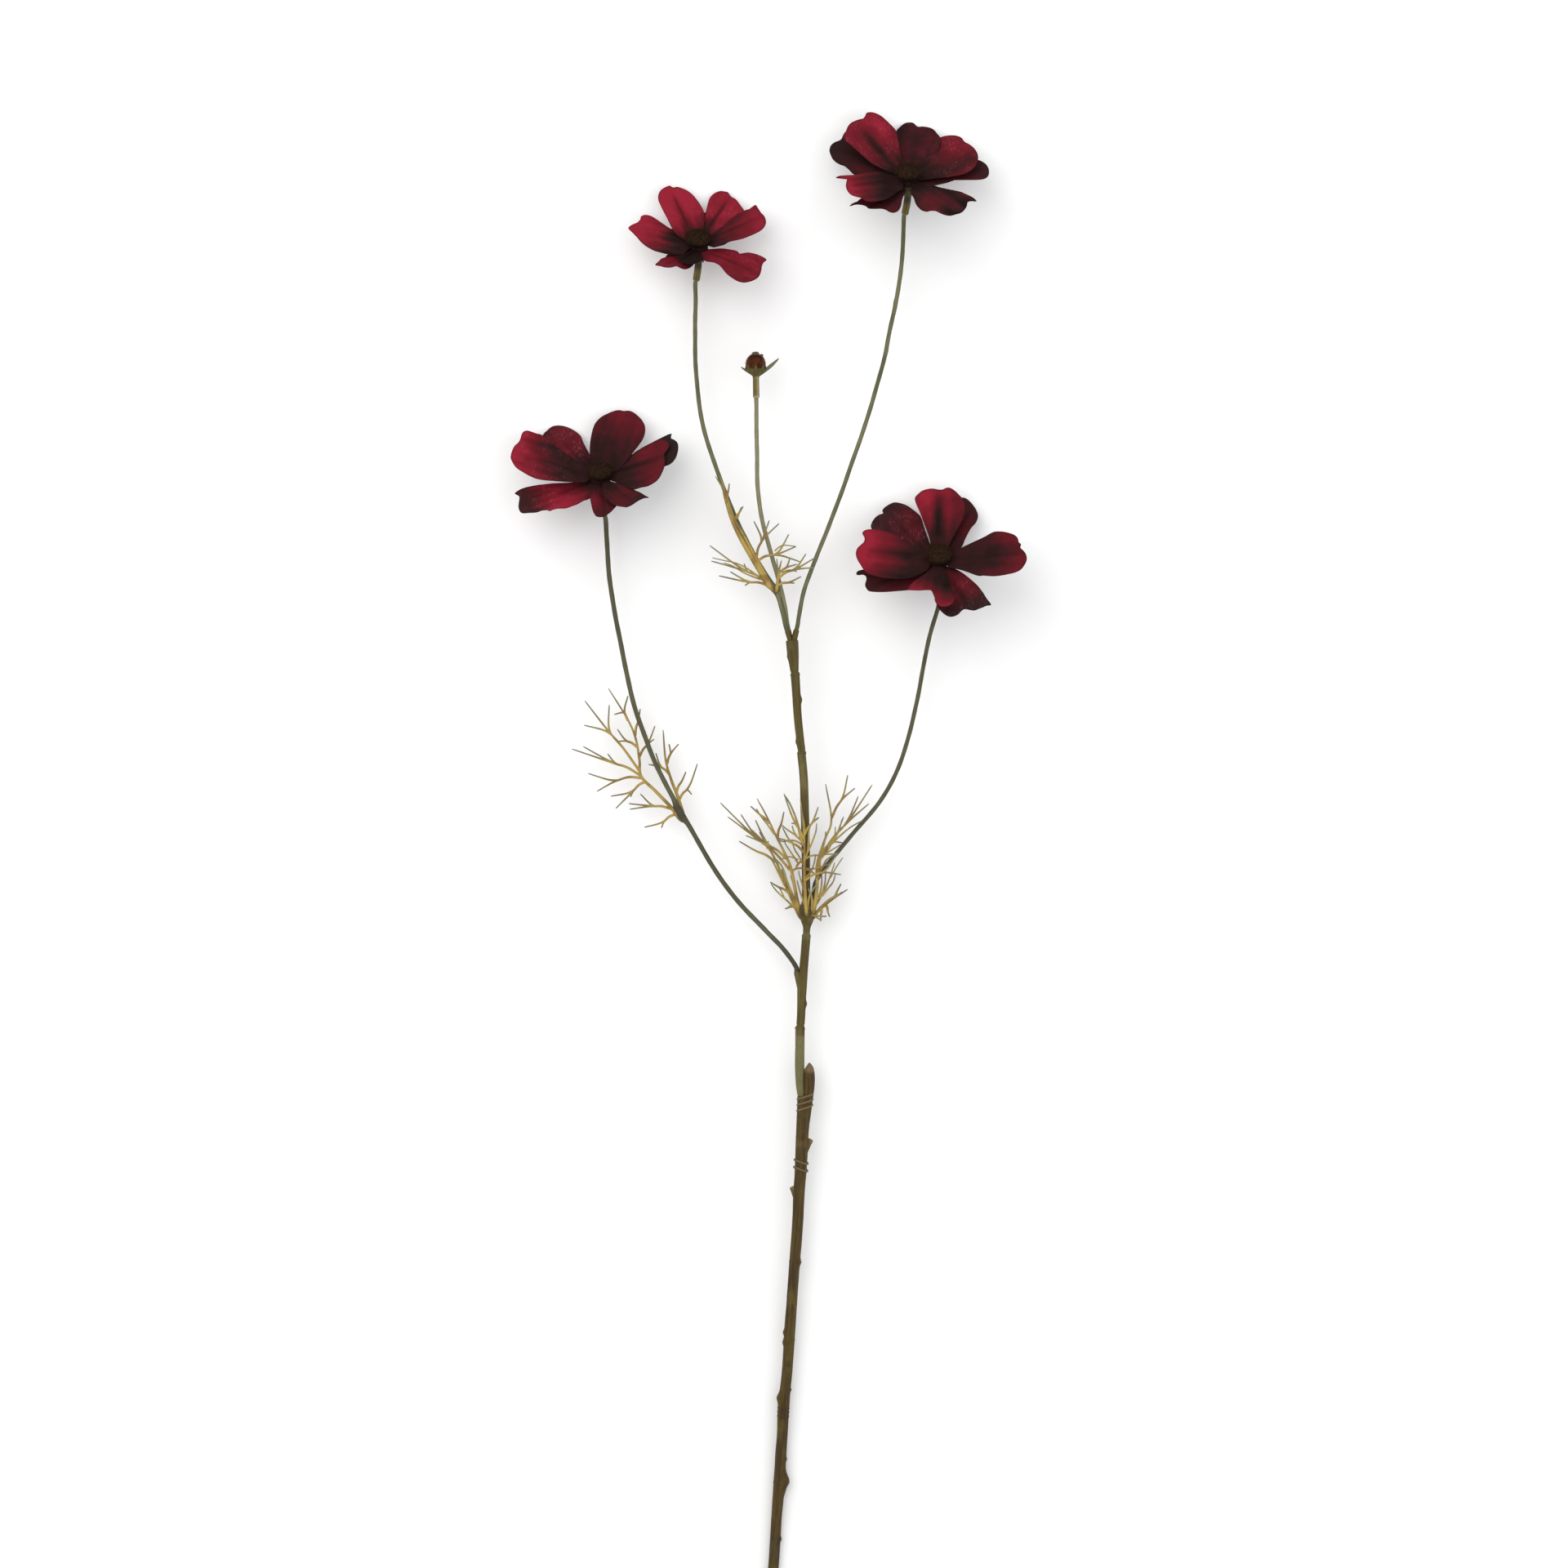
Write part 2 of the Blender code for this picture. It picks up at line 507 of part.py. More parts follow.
def petal_surface(row, bloom, height):
    """Places of a petal's middle surface, as a grid of lines that run from foot to tip.

    On the drawing the grid is a patch blended between the petal's two sides, foot and tip,
    and then evened out: past the first line each inner place moves to the middle of its
    four neighbours.
    Over the bloom's plane it climbs at the rise plus the bend, with a cup across it and a
    wavy edge. Its depth is found by stepping until drawing, plane and height agree.
    """
    lift, turn, rise, bend, length, outline = row
    tilt = math.radians(bloom["tilt"])
    angle = math.radians(turn)
    length = length * MM
    centre = plan(*bloom["at"], height)
    foot = np.array(bloom["at"]) + np.array((
        math.cos(angle) * PETAL_START / UNIT,
        -(math.sin(angle) * math.cos(tilt) * PETAL_START + math.sin(tilt) * lift) / UNIT))
    spine = (np.array(outline) - foot).mean(axis=0)
    spine = spine / np.linalg.norm(spine)
    side = np.array((-spine[1], spine[0]))
    corner = side * FOOT_HALF / UNIT
    edge = np.concatenate([[foot - corner], outline, [foot + corner]])
    rows = (len(edge) - 1 - TIP_SPANS) // 2
    left, tip, right = edge[:rows + 1], edge[rows:rows + TIP_SPANS + 1], edge[::-1][:rows + 1]
    t = np.linspace(0, 1, rows + 1)[:, None, None]
    s = np.linspace(0, 1, TIP_SPANS + 1)[:, None]
    base = edge[0] * (1 - s) + edge[-1] * s
    drawn = ((1 - s) * left[:, None] + s * right[:, None] + (1 - t) * base + t * tip
             - (1 - t) * base - t * ((1 - s) * tip[0] + s * tip[-1]))
    for _ in range(EVENING_ROUNDS):
        drawn[2:-1, 1:-1] = (drawn[1:-2, 1:-1] + drawn[3:, 1:-1]
                             + drawn[2:-1, :-2] + drawn[2:-1, 2:]) / 4

    u = (drawn - foot) @ spine
    v = (drawn - foot) @ side
    half = np.abs(v).max()
    u, v = u / u.max(), v / half
    relief = CUP * half * UNIT * np.abs(v) ** 1.6
    relief += WAVE * v ** 2 * u ** 2 * np.sin(9 * u + 2.3 * v + turn)
    walk = np.linspace(0, 1.5, 301)
    climb = np.cumsum(np.tan(np.radians(rise + bend * walk ** 1.3))) * walk[1] * length
    raised = lift + relief
    deep = np.full(raised.shape, height)
    for _ in range(60):
        spread = (EYE.z - deep) / (EYE.z - DRAWN_HEIGHT) * UNIT
        x = EYE.x + (drawn[..., 0] - MIDDLE) * spread
        y = EYE.y - (drawn[..., 1] - MIDDLE) * spread
        out = (y - centre.y - raised * math.sin(tilt)) / math.cos(tilt)
        reach = ((x - centre.x) * math.cos(angle) + out * math.sin(angle) - PETAL_START) / length
        raised = (raised + lift + relief + np.interp(reach, walk, climb)) / 2
        deep = height - out * math.sin(tilt) + raised * math.cos(tilt)
    return np.stack([x, y, deep], axis=-1)


def petal(row, bloom, height):
    """One petal as a thin curved blade."""
    places = petal_surface(row, bloom, height)
    rows = len(places) - 1
    shape = bmesh.new()
    bmesh.ops.create_grid(shape, x_segments=TIP_SPANS, y_segments=rows, size=1.0)
    for vert in shape.verts:
        line = round((vert.co.y + 1) / 2 * rows)
        spot = round((vert.co.x + 1) / 2 * TIP_SPANS)
        vert.co = Vector(places[line, spot])
    bmesh.ops.triangulate(shape, faces=shape.faces)
    mesh = bpy.data.meshes.new("petal")
    shape.to_mesh(mesh)
    shape.free()
    piece = new_object("petal", mesh)
    blade = piece.modifiers.new("Thickness", "SOLIDIFY")
    blade.thickness = PETAL_THICKNESS
    blade.offset = 0.0
    return as_mesh(piece)


def bloom_height(bloom):
    """Height of a bloom's middle at which its lowest petal meets its rest."""
    height = DRAWN_HEIGHT
    for _ in range(4):
        low = min(petal_surface(row, bloom, height)[..., 2].min() for row in bloom["petals"])
        height += bloom["rest"] * MM + PETAL_THICKNESS / 2 - low
    return height


def build_bloom(key, bloom):
    """Petals, disc and calyx of one bloom. Returns where its stalk ends."""
    axes = bloom_axes(bloom["tilt"])
    up = axes[2]
    height = bloom_height(bloom)
    centre = plan(*bloom["at"], height)
    place = facing(centre, up)
    hub = turned([(0, HUB_TOP), (HUB_RADIUS, HUB_TOP), (HUB_RADIUS, HUB_BOTTOM), (0, HUB_BOTTOM)],
                 16, place)
    petals = [petal(row, bloom, height) for row in bloom["petals"]]
    fuse(f"petals_{key}", [hub] + petals, "petal_fabric", centre)

    base = HUB_TOP + CLEARANCE
    dome = [(0, 5.6), (3.0, 5.2), (5.0, 4.3), (5.9, 3.3), (5.4, 2.3), (3.8, 1.2), (3.2, 0), (0, 0)]
    disc = turned([(radius * MM, base + height * MM) for radius, height in dome], 18, place)
    fuse(f"disc_{key}", [disc], "disc_flock", centre)

    top = HUB_BOTTOM - CLEARANCE
    cup = [(0, 0), (3.2, 0), (3.3, -0.8), (2.7, -2.6), (1.9, -4.6), (1.3, -6.5), (0, -6.5)]
    parts = [turned([(radius * MM, top + height * MM) for radius, height in cup], 12, place)]
    neck = plan(*bloom["neck"], centre.z - bloom["drop"] * MM)
    start = centre + up * (top - 5.0 * MM)
    bend = centre + up * (top - 9.0 * MM)
    route = []
    for step in range(7):
        t = step / 6
        route.append(start * (1 - t) ** 2 + bend * 2 * t * (1 - t) + neck * t * t)
    parts.append(tube(route, [1.55 * MM] * 7))
    for i in range(8):
        turn = 2 * math.pi * (i + 0.5) / 8
        along = axes[0] * math.cos(turn) + axes[1] * math.sin(turn)
        sepal = [centre + along * (2.4 * MM) + up * (top - 1.2 * MM),
                 centre + along * (6.0 * MM) + up * (top - 2.6 * MM),
                 centre + along * (9.5 * MM) + up * (top - 5.0 * MM)]
        parts.append(tube(sepal, [0.8 * MM, 0.75 * MM, 0.35 * MM], 0))
    fuse(f"calyx_{key}", parts, "calyx_green", centre)
    return neck, (route[-1] - route[-2]).normalized()


def stump(key):
    """Where a stump starts and ends, and its radius."""
    start, end, radius = STUMPS[key]
    return (on_stem(start[0], start[1], start[2] * MM), on_stem(end[0], end[1], end[2] * MM),
            radius * MM)


def stalk(key, route, end, end_way, knobs=(), radius=STALK_RADIUS):
    """A thin stalk from its stump to the end piece, its height changing evenly between."""
    base, foot, _ = stump(key)
    foot_way = (foot - base).normalized()
    points = [foot + foot_way * STALK_GAP, foot + foot_way * STALK_STRAIGHT]
    for i, (x, y) in enumerate(route):
        share = (i + 1) / (len(route) + 1)
        points.append(plan(x, y, foot.z + (end.z - foot.z) * share))
    points += [end + end_way * STALK_STRAIGHT, end + end_way * STALK_GAP]
    line = points[:1] + smooth(points[1:-1], 2) + points[-1:]
    parts = [tube(line, [radius] * len(line))]
    for i, way in knobs:
        parts.append(ball(line[i] + Vector((way * KNOB_OFFSET, 0, 0)), KNOB))
    fuse(f"stalk_{key}", parts, "olive_stalk")


def build_leaf(name, leaf):
    """A feathery leaf: a rib and forked twigs, all as tapering needles."""
    rib = [plan(x, y, height * MM) for x, y, height in leaf["rib"]]
    lengths = np.cumsum([0.0] + [(b - a).length for a, b in zip(rib, rib[1:])])
    shares = lengths / lengths[-1]
    parts = [tube(rib, [RIB_RADIUS + (TIP_RADIUS - RIB_RADIUS) * float(s) for s in shares], 0)]
    for number, (share, fork_share, tips) in enumerate(leaf["twigs"]):
        foot = Vector([float(np.interp(share, shares, [p[axis] for p in rib])) for axis in range(3)])
        rise = TWIG_RISES[number % 3] * leaf["rise"] * MM
        ends = [plan(x, y, foot.z + rise + 0.5 * MM * i) for i, (x, y) in enumerate(tips)]
        middle = sum(ends, Vector()) / len(ends)
        fork = foot.lerp(middle, fork_share) + Vector((0, 0, 0.3 * MM))
        parts.append(tube([foot, fork, ends[0]], [TWIG_RADIUS, FORK_RADIUS, TIP_RADIUS], 0))
        for end in ends[1:]:
            parts.append(tube([fork, end], [FORK_RADIUS, TIP_RADIUS], 0))
    fuse(name, parts, "leaf_ochre")


def build_lower_stem():
    """The thick brown stem with its knots, cut side shoots and binding turns."""
    spots = [(942.2, STEM_END_Y, 2.35), (944.5, 1950, 2.35), (947.5, 1912, 2.35), (950.5, 1865, 2.4),
             (954, 1815, 2.5), (957.5, 1762, 2.4), (959.5, 1722, 2.6), (963.5, 1682, 2.35),
             (967, 1632, 2.4), (970.5, 1580, 2.4), (973.5, 1540, 2.45), (976.5, 1500, 2.45),
             (978.5, 1460, 2.5), (980.5, 1430, 2.7), (982, 1400, 2.85), (983.5, 1370, 2.95),
             (984.5, 1342, 2.95)]
    line = [on_stem(x, y) for x, y, _ in spots]
    parts = [tube(line, [radius * MM for _, _, radius in spots], 3)]
    tongue = [on_stem(987, 1368), on_stem(990.5, 1342), on_stem(991.5, 1318), on_stem(990.6, 1303)]
    parts.append(tube(tongue, [2.3 * MM, 2.05 * MM, 1.95 * MM, 1.1 * MM], 3))
    along = (on_stem(983.5, 1370) - on_stem(984.5, 1342)).normalized()
    for x, y, radius, lean in ((984.4, 1345, 3.0, 0.12), (984, 1351, 3.0, -0.1), (983.8, 1358, 3.0, 0.15),
                               (981, 1420, 2.85, 0.45), (980.6, 1430, 2.8, 0.45)):
        axis = (along + Vector((lean * 0.5, 0, lean))).normalized()
        parts.append(ring(on_stem(x, y), axis, radius * MM, 0.4 * MM))
    for y in (1724, 1729, 1734):
        parts.append(ring(on_stem(959.2, y), along, 2.5 * MM, 0.3 * MM))
    for start, end, thick in (((984, 1412), (993, 1395), 1.2), ((977, 1470), (970, 1453), 1.3),
                              ((956, 1832), (965.5, 1816), 1.0)):
        parts.append(tube([on_stem(*start), on_stem(*end)], [thick * 1.2 * MM, thick * MM], 2))
    for x, y, size in ((959.5, 1640, 1.5), (955, 1717, 1.5), (979, 1545, 1.2), (968.5, 1701, 1.2),
                       (961, 1786, 1.1), (956, 1886, 1.0)):
        parts.append(ball(on_stem(x, y), (size * MM, 2.0 * size * MM, size * MM)))
    bpy.ops.mesh.primitive_cube_add(size=0.06, location=(0, 0, -0.03))
    floor_cut = bpy.context.object
    floor_cut.name = "flat_spot_cutter"
    fuse("lower_stem", parts, "brown_stem", cut=floor_cut)
    floor_cut.hide_render = True
    floor_cut.display_type = "WIRE"
    move_to(floor_cut, CUTTERS)


def build_upper_stem():
    """The green stem with its joint rings, leaf socket and branch stumps."""
    spots = [(979.3, 1339, 2.05), (979.3, 1300, 2.1), (979.6, 1262, 2.1), (980, 1257, 1.9),
             (981.2, 1238, 1.9), (982.2, 1208, 2.1), (984.5, 1180, 1.9), (987.3, 1148, 1.85),
             (987.6, 1143, 1.5), (988.4, 1134, 1.5), (988.9, 1126, 2.7), (988.9, 1114, 3.0),
             (988, 1104, 2.3), (987.4, 1092, 1.9), (986.5, 1040, 1.85), (984.5, 960, 1.85),
             (981.7, 926, 1.9), (981.5, 918, 1.8), (977, 880, 1.8), (974, 830, 1.9),
             (973, 822, 1.8), (971.2, 803, 2.5), (969.8, FORK_Y, 2.8)]
    line = [on_stem(x, y) for x, y, _ in spots]
    parts = [tube(line, [radius * MM for _, _, radius in spots], 3)]
    along = (on_stem(977, 880) - on_stem(983, 940)).normalized()
    for x, y, radius in ((981.6, 922, 1.95), (973.4, 826, 1.95), (979.8, 1259, 2.15)):
        parts.append(ring(on_stem(x, y), along, radius * MM, 0.3 * MM))
    for key in STUMPS:
        base, tip, radius = stump(key)
        parts.append(tube([base, tip], [radius, radius]))
    for x, y in ((986, 1229), (975.2, 908), (980, 857), (966, 804)):
        parts.append(ball(on_stem(x, y), (1.0 * MM, 1.7 * MM, 1.0 * MM)))
    fuse("upper_stem", parts, "olive_stem")


def build_bud():
    """The bud: a short sleeve with a cup and two bracts, and a fuzzy round head."""
    foot = plan(926, 487, 17.0 * MM)
    cup = plan(925.5, 457, 18.0 * MM)
    way = (cup - foot).normalized()
    profile = [(0, 0), (2.9, 0), (3.1, -0.9), (2.5, -2.6), (1.5, -4.2), (0, -4.2)]
    parts = [turned([(radius * MM, height * MM) for radius, height in profile], 14, facing(cup, way)),
             tube([foot, cup - way * (2.5 * MM)], [1.45 * MM, 1.35 * MM], 3)]
    rim = cup - way * (1.4 * MM)
    for side, tip, wide in ((1, (954, 439), 1.0), (-1, (907, 449), 0.7)):
        start = rim + Vector((side * 2.2 * MM, 0, 0))
        end = plan(*tip, 19.5 * MM)
        bow = start.lerp(end, 0.5) + Vector((side * 0.8 * MM, -1.4 * MM, 0))
        parts.append(tube([start, bow, end], [0.7 * MM, wide * MM, 0.4 * MM], 1))
    fuse("bud_calyx", parts, "calyx_green")
    dome = [(0, 8.0), (2.0, 7.7), (3.4, 6.6), (4.1, 4.8), (4.0, 2.9), (3.2, 1.2), (2.2, 0.3), (0, 0.3)]
    head = turned([(radius * MM, height * MM) for radius, height in dome], 16, facing(cup, way))
    fuse("bud_head", [head], "bud_flock")
    return foot, -way


def build_materials():
    materials = {}
    for name, (colour, roughness) in SLOTS.items():
        material = bpy.data.materials.new(name)
        material.use_nodes = True
        shader = material.node_tree.nodes["Principled BSDF"]
        shader.inputs["Base Color"].default_value = (*colour, 1.0)
        shader.inputs["Roughness"].default_value = roughness
        shader.inputs["Metallic"].default_value = 0.0
        materials[name] = material
    return materials


for old in list(bpy.data.objects):
    bpy.data.objects.remove(old)
SPRAY = bpy.data.collections.new("cosmos_flower")
CUTTERS = bpy.data.collections.new("cutters")
bpy.context.scene.collection.children.link(SPRAY)
bpy.context.scene.collection.children.link(CUTTERS)
MATERIALS = build_materials()

build_lower_stem()
build_upper_stem()
necks = {key: build_bloom(key, bloom) for key, bloom in BLOOMS.items()}
stalk("a", STALK_A, *necks["a"], radius=1.05 * MM)
stalk("b", STALK_B, *necks["b"])
stalk("c", STALK_C, *necks["c"], knobs=((23, 1), (27, -1)))
stalk("d", STALK_D, *necks["d"])
stalk("bud", STALK_BUD, *build_bud())
for leaf_name, leaf_form in LEAVES.items():
    build_leaf(leaf_name, leaf_form)
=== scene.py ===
"""Looks of a cosmos spray with fabric blooms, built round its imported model.

The spray lies on a pale floor and the camera looks straight down at it. Places are read
off the plan drawing that the model follows: x to the right, y down, heights in millimetres.
Every piece is a surface worked out on a grid, with values at its points for the materials.
"""

import bpy
import numpy as np
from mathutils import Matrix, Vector


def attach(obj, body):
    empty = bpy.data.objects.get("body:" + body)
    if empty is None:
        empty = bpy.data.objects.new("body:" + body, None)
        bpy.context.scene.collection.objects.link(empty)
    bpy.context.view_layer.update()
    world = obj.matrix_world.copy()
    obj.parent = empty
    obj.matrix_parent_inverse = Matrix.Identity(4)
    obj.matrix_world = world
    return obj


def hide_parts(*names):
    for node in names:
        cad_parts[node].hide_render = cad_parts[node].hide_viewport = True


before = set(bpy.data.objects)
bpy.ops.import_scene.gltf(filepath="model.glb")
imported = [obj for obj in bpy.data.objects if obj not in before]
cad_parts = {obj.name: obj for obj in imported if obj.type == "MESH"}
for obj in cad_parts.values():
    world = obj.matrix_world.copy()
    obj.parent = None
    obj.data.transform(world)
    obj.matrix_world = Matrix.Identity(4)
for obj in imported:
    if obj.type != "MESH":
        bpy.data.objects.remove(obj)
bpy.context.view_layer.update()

MM = 0.001
TURN = 2 * np.pi
GOLDEN_SHARE = 0.381966

# The plan drawing: the length of its unit at DRAWN_HEIGHT, its middle, and the eye and the
# lens that see it.
UNIT = 0.36 * MM
MIDDLE = 960.0
EYE = np.array([5.98, 364.3, 1935.0]) * MM
DRAWN_HEIGHT = 15.0 * MM
LENS = 100.0

# The main stem rises evenly from the flat spot to the fork at its top.
LEVEL_UNTIL_Y = 1946.0
FORK_Y = 784.0
STEM_END_HEIGHT = 2.05
FORK_HEIGHT = 17.6

# Sides of a stem or stalk, as angles round it.
LEFT, RIGHT, ON_TOP = np.pi, 0.0, np.pi / 2

# The middle of a bloom, in mm on its axis: a hub that joins the petals, a fuzzy disc on it, and
# a cup, sleeve and sepals under it. A profile is (distance from the axis, height), top first.
# Hairs grow on the first pairs of a disc's profile, and of the bud's.
HUB_TOP = 1.9
HUB_BOTTOM = -0.8
HUB_PROFILE = [(0, HUB_TOP), (3.8, HUB_TOP), (4.3, HUB_TOP - 0.4), (4.3, HUB_BOTTOM + 0.3),
               (3.8, HUB_BOTTOM), (0, HUB_BOTTOM)]
DISC_BASE = HUB_TOP + 0.3
DISC_PROFILE = [(radius, DISC_BASE + height) for radius, height in (
    (0, 5.5), (1.6, 5.4), (3.0, 5.05), (4.2, 4.5), (5.1, 3.8), (5.6, 3.0), (5.4, 2.2),
    (4.7, 1.5), (3.8, 0.9), (3.2, 0), (0, 0))]
HAIRY_PAIRS = 8
CUP_TOP = HUB_BOTTOM - 0.3
CUP_PROFILE = [(radius, CUP_TOP - drop) for radius, drop in (
    (0, 0), (2.6, 0), (3.2, 0.3), (3.3, 1.2), (2.9, 2.6), (2.2, 4.2), (1.8, 5.6), (1.5, 6.5),
    (0, 6.5))]
SEPAL_BEND = [(far, CUP_TOP - drop) for far, drop in ((2.4, 1.2), (4.4, 2.1), (6.2, 3.2))]
SEPAL_RINGS = 14
SLEEVE_START = 5.0
SLEEVE_BEND = 9.0
SLEEVE_RADIUS = 1.5
SLEEVE_RINGS = 24

# Petals: lift over the bloom's plane, direction round the bloom, rise, bend and length as in
# the model, how red the cloth is at shares of the length, partly the cloth's own crimson and
# black-brown and partly painted shade, darkest at the foot by the disc, and the outline on the
# drawing, clockwise from the foot and back to it. A fold is its place across the petal, its
# width, its change of tone, which is painted shade in its crease, and its depth; a patch is its
# place, its two sizes and its change of tone, partly the cloth's own tone and partly painted
# light where above 0 and painted shade where below 0. The last fact, where given, is how much
# of the cloth carries pale strokes of painted sheen.
LOWER = 0.0
UPPER = 1.4
PETAL_START = 2.0
PETAL_THICKNESS = 0.36
PETAL_GRID = (110, 30)
FOOT_SHARE = 0.12
PLEAT_HEIGHT = 0.12
DEPTH_STEPS = 60


def petal(lift, turn, rise, bend, length, tones, outline, **more):
    """The facts of one petal, with the finer ones that most petals leave as they are."""
    facts = {"lift": lift, "turn": turn, "rise": rise, "bend": bend, "length": length,
             "tones": tones, "outline": outline, "gather": 1.3, "cup": 0.12,
             "fold": (0.0, 0.13, -0.12, 0.6), "wave": 0.4, "pile": 0.0, "grey": 0.0,
             "patches": ()}
    facts.update(more)
    return facts


PETALS_A = [
    petal(LOWER, 126, 3, 16, 36.5,
          ((0.25, 0.05), (0.42, 0.35), (0.6, 0.6), (0.92, 0.65), (1, 0.3)), [
        (716, 580), (692, 566), (673, 550), (664, 538), (665, 532), (670, 527), (675, 523),
        (680, 521.3), (687, 521.2), (694, 522.8), (701, 526), (707, 530), (711.5, 534.5),
        (714, 541), (718, 549), (722, 556), (728, 570)],
        pile=0.9, grey=0.35),
    petal(LOWER, 20, 11, 8, 35.5, ((0.3, 0.1), (0.5, 0.15), (0.8, 0)), [
        (752, 570), (770, 559), (785, 549), (800, 541), (809, 536.5), (816, 533), (820, 531.5),
        (822.6, 531.2), (821.6, 536.3), (826, 538.8), (829.5, 542), (830.6, 547), (830, 553),
        (828, 559.5), (824.5, 565), (819.5, 569), (812, 571.5), (795, 577), (775, 582), (756, 584)],
        grey=1),
    petal(LOWER, 196, -11, 2, 34.5,
          ((0.1, 0.15), (0.22, 0.55), (0.35, 0.85), (0.5, 1.05), (0.7, 0.8), (0.84, 0.35)), [
        (730, 604), (721, 611), (714, 613.5), (707, 617.5), (700, 620), (693, 622.5), (683, 622.8),
        (677, 624.3), (673, 626), (670.5, 624.8), (664, 625.2), (657, 627.5), (648, 628),
        (640, 628.5), (636.5, 626), (634.8, 620), (636, 610), (634.8, 607), (630.3, 604.3),
        (634, 601), (640, 598), (648, 595.8), (658, 594), (668, 592.8), (677, 592), (686, 592.7),
        (694, 592.3), (706, 590), (722, 588)],
        pile=1, grey=0.7, patches=((0.4, -0.7, 0.4, 0.3, 0.2),)),
    petal(LOWER, 277, 6, 3, 35.5, ((0.12, 0.05), (0.3, 0.35), (0.7, 0.4), (1, 0.3)), [
        (748, 597), (754, 600), (758, 605), (759, 612), (756, 618), (749, 626), (743, 630.5),
        (739.5, 632.8), (731.5, 632.8), (727.5, 629), (725.2, 623), (723.5, 615), (722.5, 609),
        (723, 600)],
        grey=0.2, patches=((0.45, 0.6, 0.3, 0.4, 0.3),)),
    petal(UPPER, 165, 6, 16, 38.5,
          ((0.35, 0.05), (0.5, 0.28), (0.62, 0.5), (0.8, 0.85), (0.95, 1.15)), [
        (716, 591), (694, 590), (678, 589), (660, 587), (649, 583), (640, 578), (632, 572.5),
        (627.5, 566), (625.3, 560), (627, 552), (630, 546), (635, 541.5), (637.5, 536), (639, 531),
        (642, 528), (647, 527.5), (656, 530.5), (664, 533), (672, 541), (682, 548.5), (693, 556),
        (704, 562), (717, 570)],
        pile=0.6, patches=((0.62, 0.65, 0.25, 0.35, -0.3), (0.6, -0.7, 0.3, 0.35, 0.2))),
    petal(UPPER, 72, 14, 16, 36.0, ((0.3, 0.05), (0.6, 0.28), (0.8, 0.45), (1, 0.65)), [
        (727, 576), (722.5, 558), (722.3, 545), (724, 533), (727, 522), (731, 515.5), (737, 510),
        (744, 506.5), (751, 503.5), (758, 502.2), (764, 503.2), (769, 502.8), (774, 504),
        (781, 509), (786.5, 515), (789.8, 522), (789.8, 530), (787, 538), (782, 545.5), (776, 553),
        (769, 562), (756, 577)],
        patches=((0.7, 0.1, 0.3, 0.12, 0.12),)),
    petal(UPPER, 8, 13, 5, 31.5, ((0.33, 0.05), (0.48, 0.32), (0.65, 0.56), (1, 0.57)), [
        (752, 574), (763, 566), (772, 558.5), (780, 552), (790, 547), (800, 541.5), (807, 538.8),
        (813, 538.6), (818, 541.5), (819.5, 546), (817, 551), (813.5, 556), (814.5, 563),
        (813.8, 571), (811.5, 577), (807.5, 585), (802, 590.5), (794, 595), (785, 597),
        (776.5, 599.3), (768, 597), (754, 590)],
        fold=(-0.1, 0.12, -0.3, 1.0)),
    petal(UPPER, 308, 8, -2, 33.5, ((0.15, 0.05), (0.4, 0.35), (0.7, 0.45), (0.9, 0.15)), [
        (753, 594), (766, 593.5), (777, 600), (784, 603), (790, 606.8), (794.6, 609.4), (789, 610),
        (784, 612), (779, 615), (774, 618.3), (768, 621), (762, 620.6), (756, 619.5), (748, 616),
        (740, 608), (737, 600)],
        grey=0.5),
]
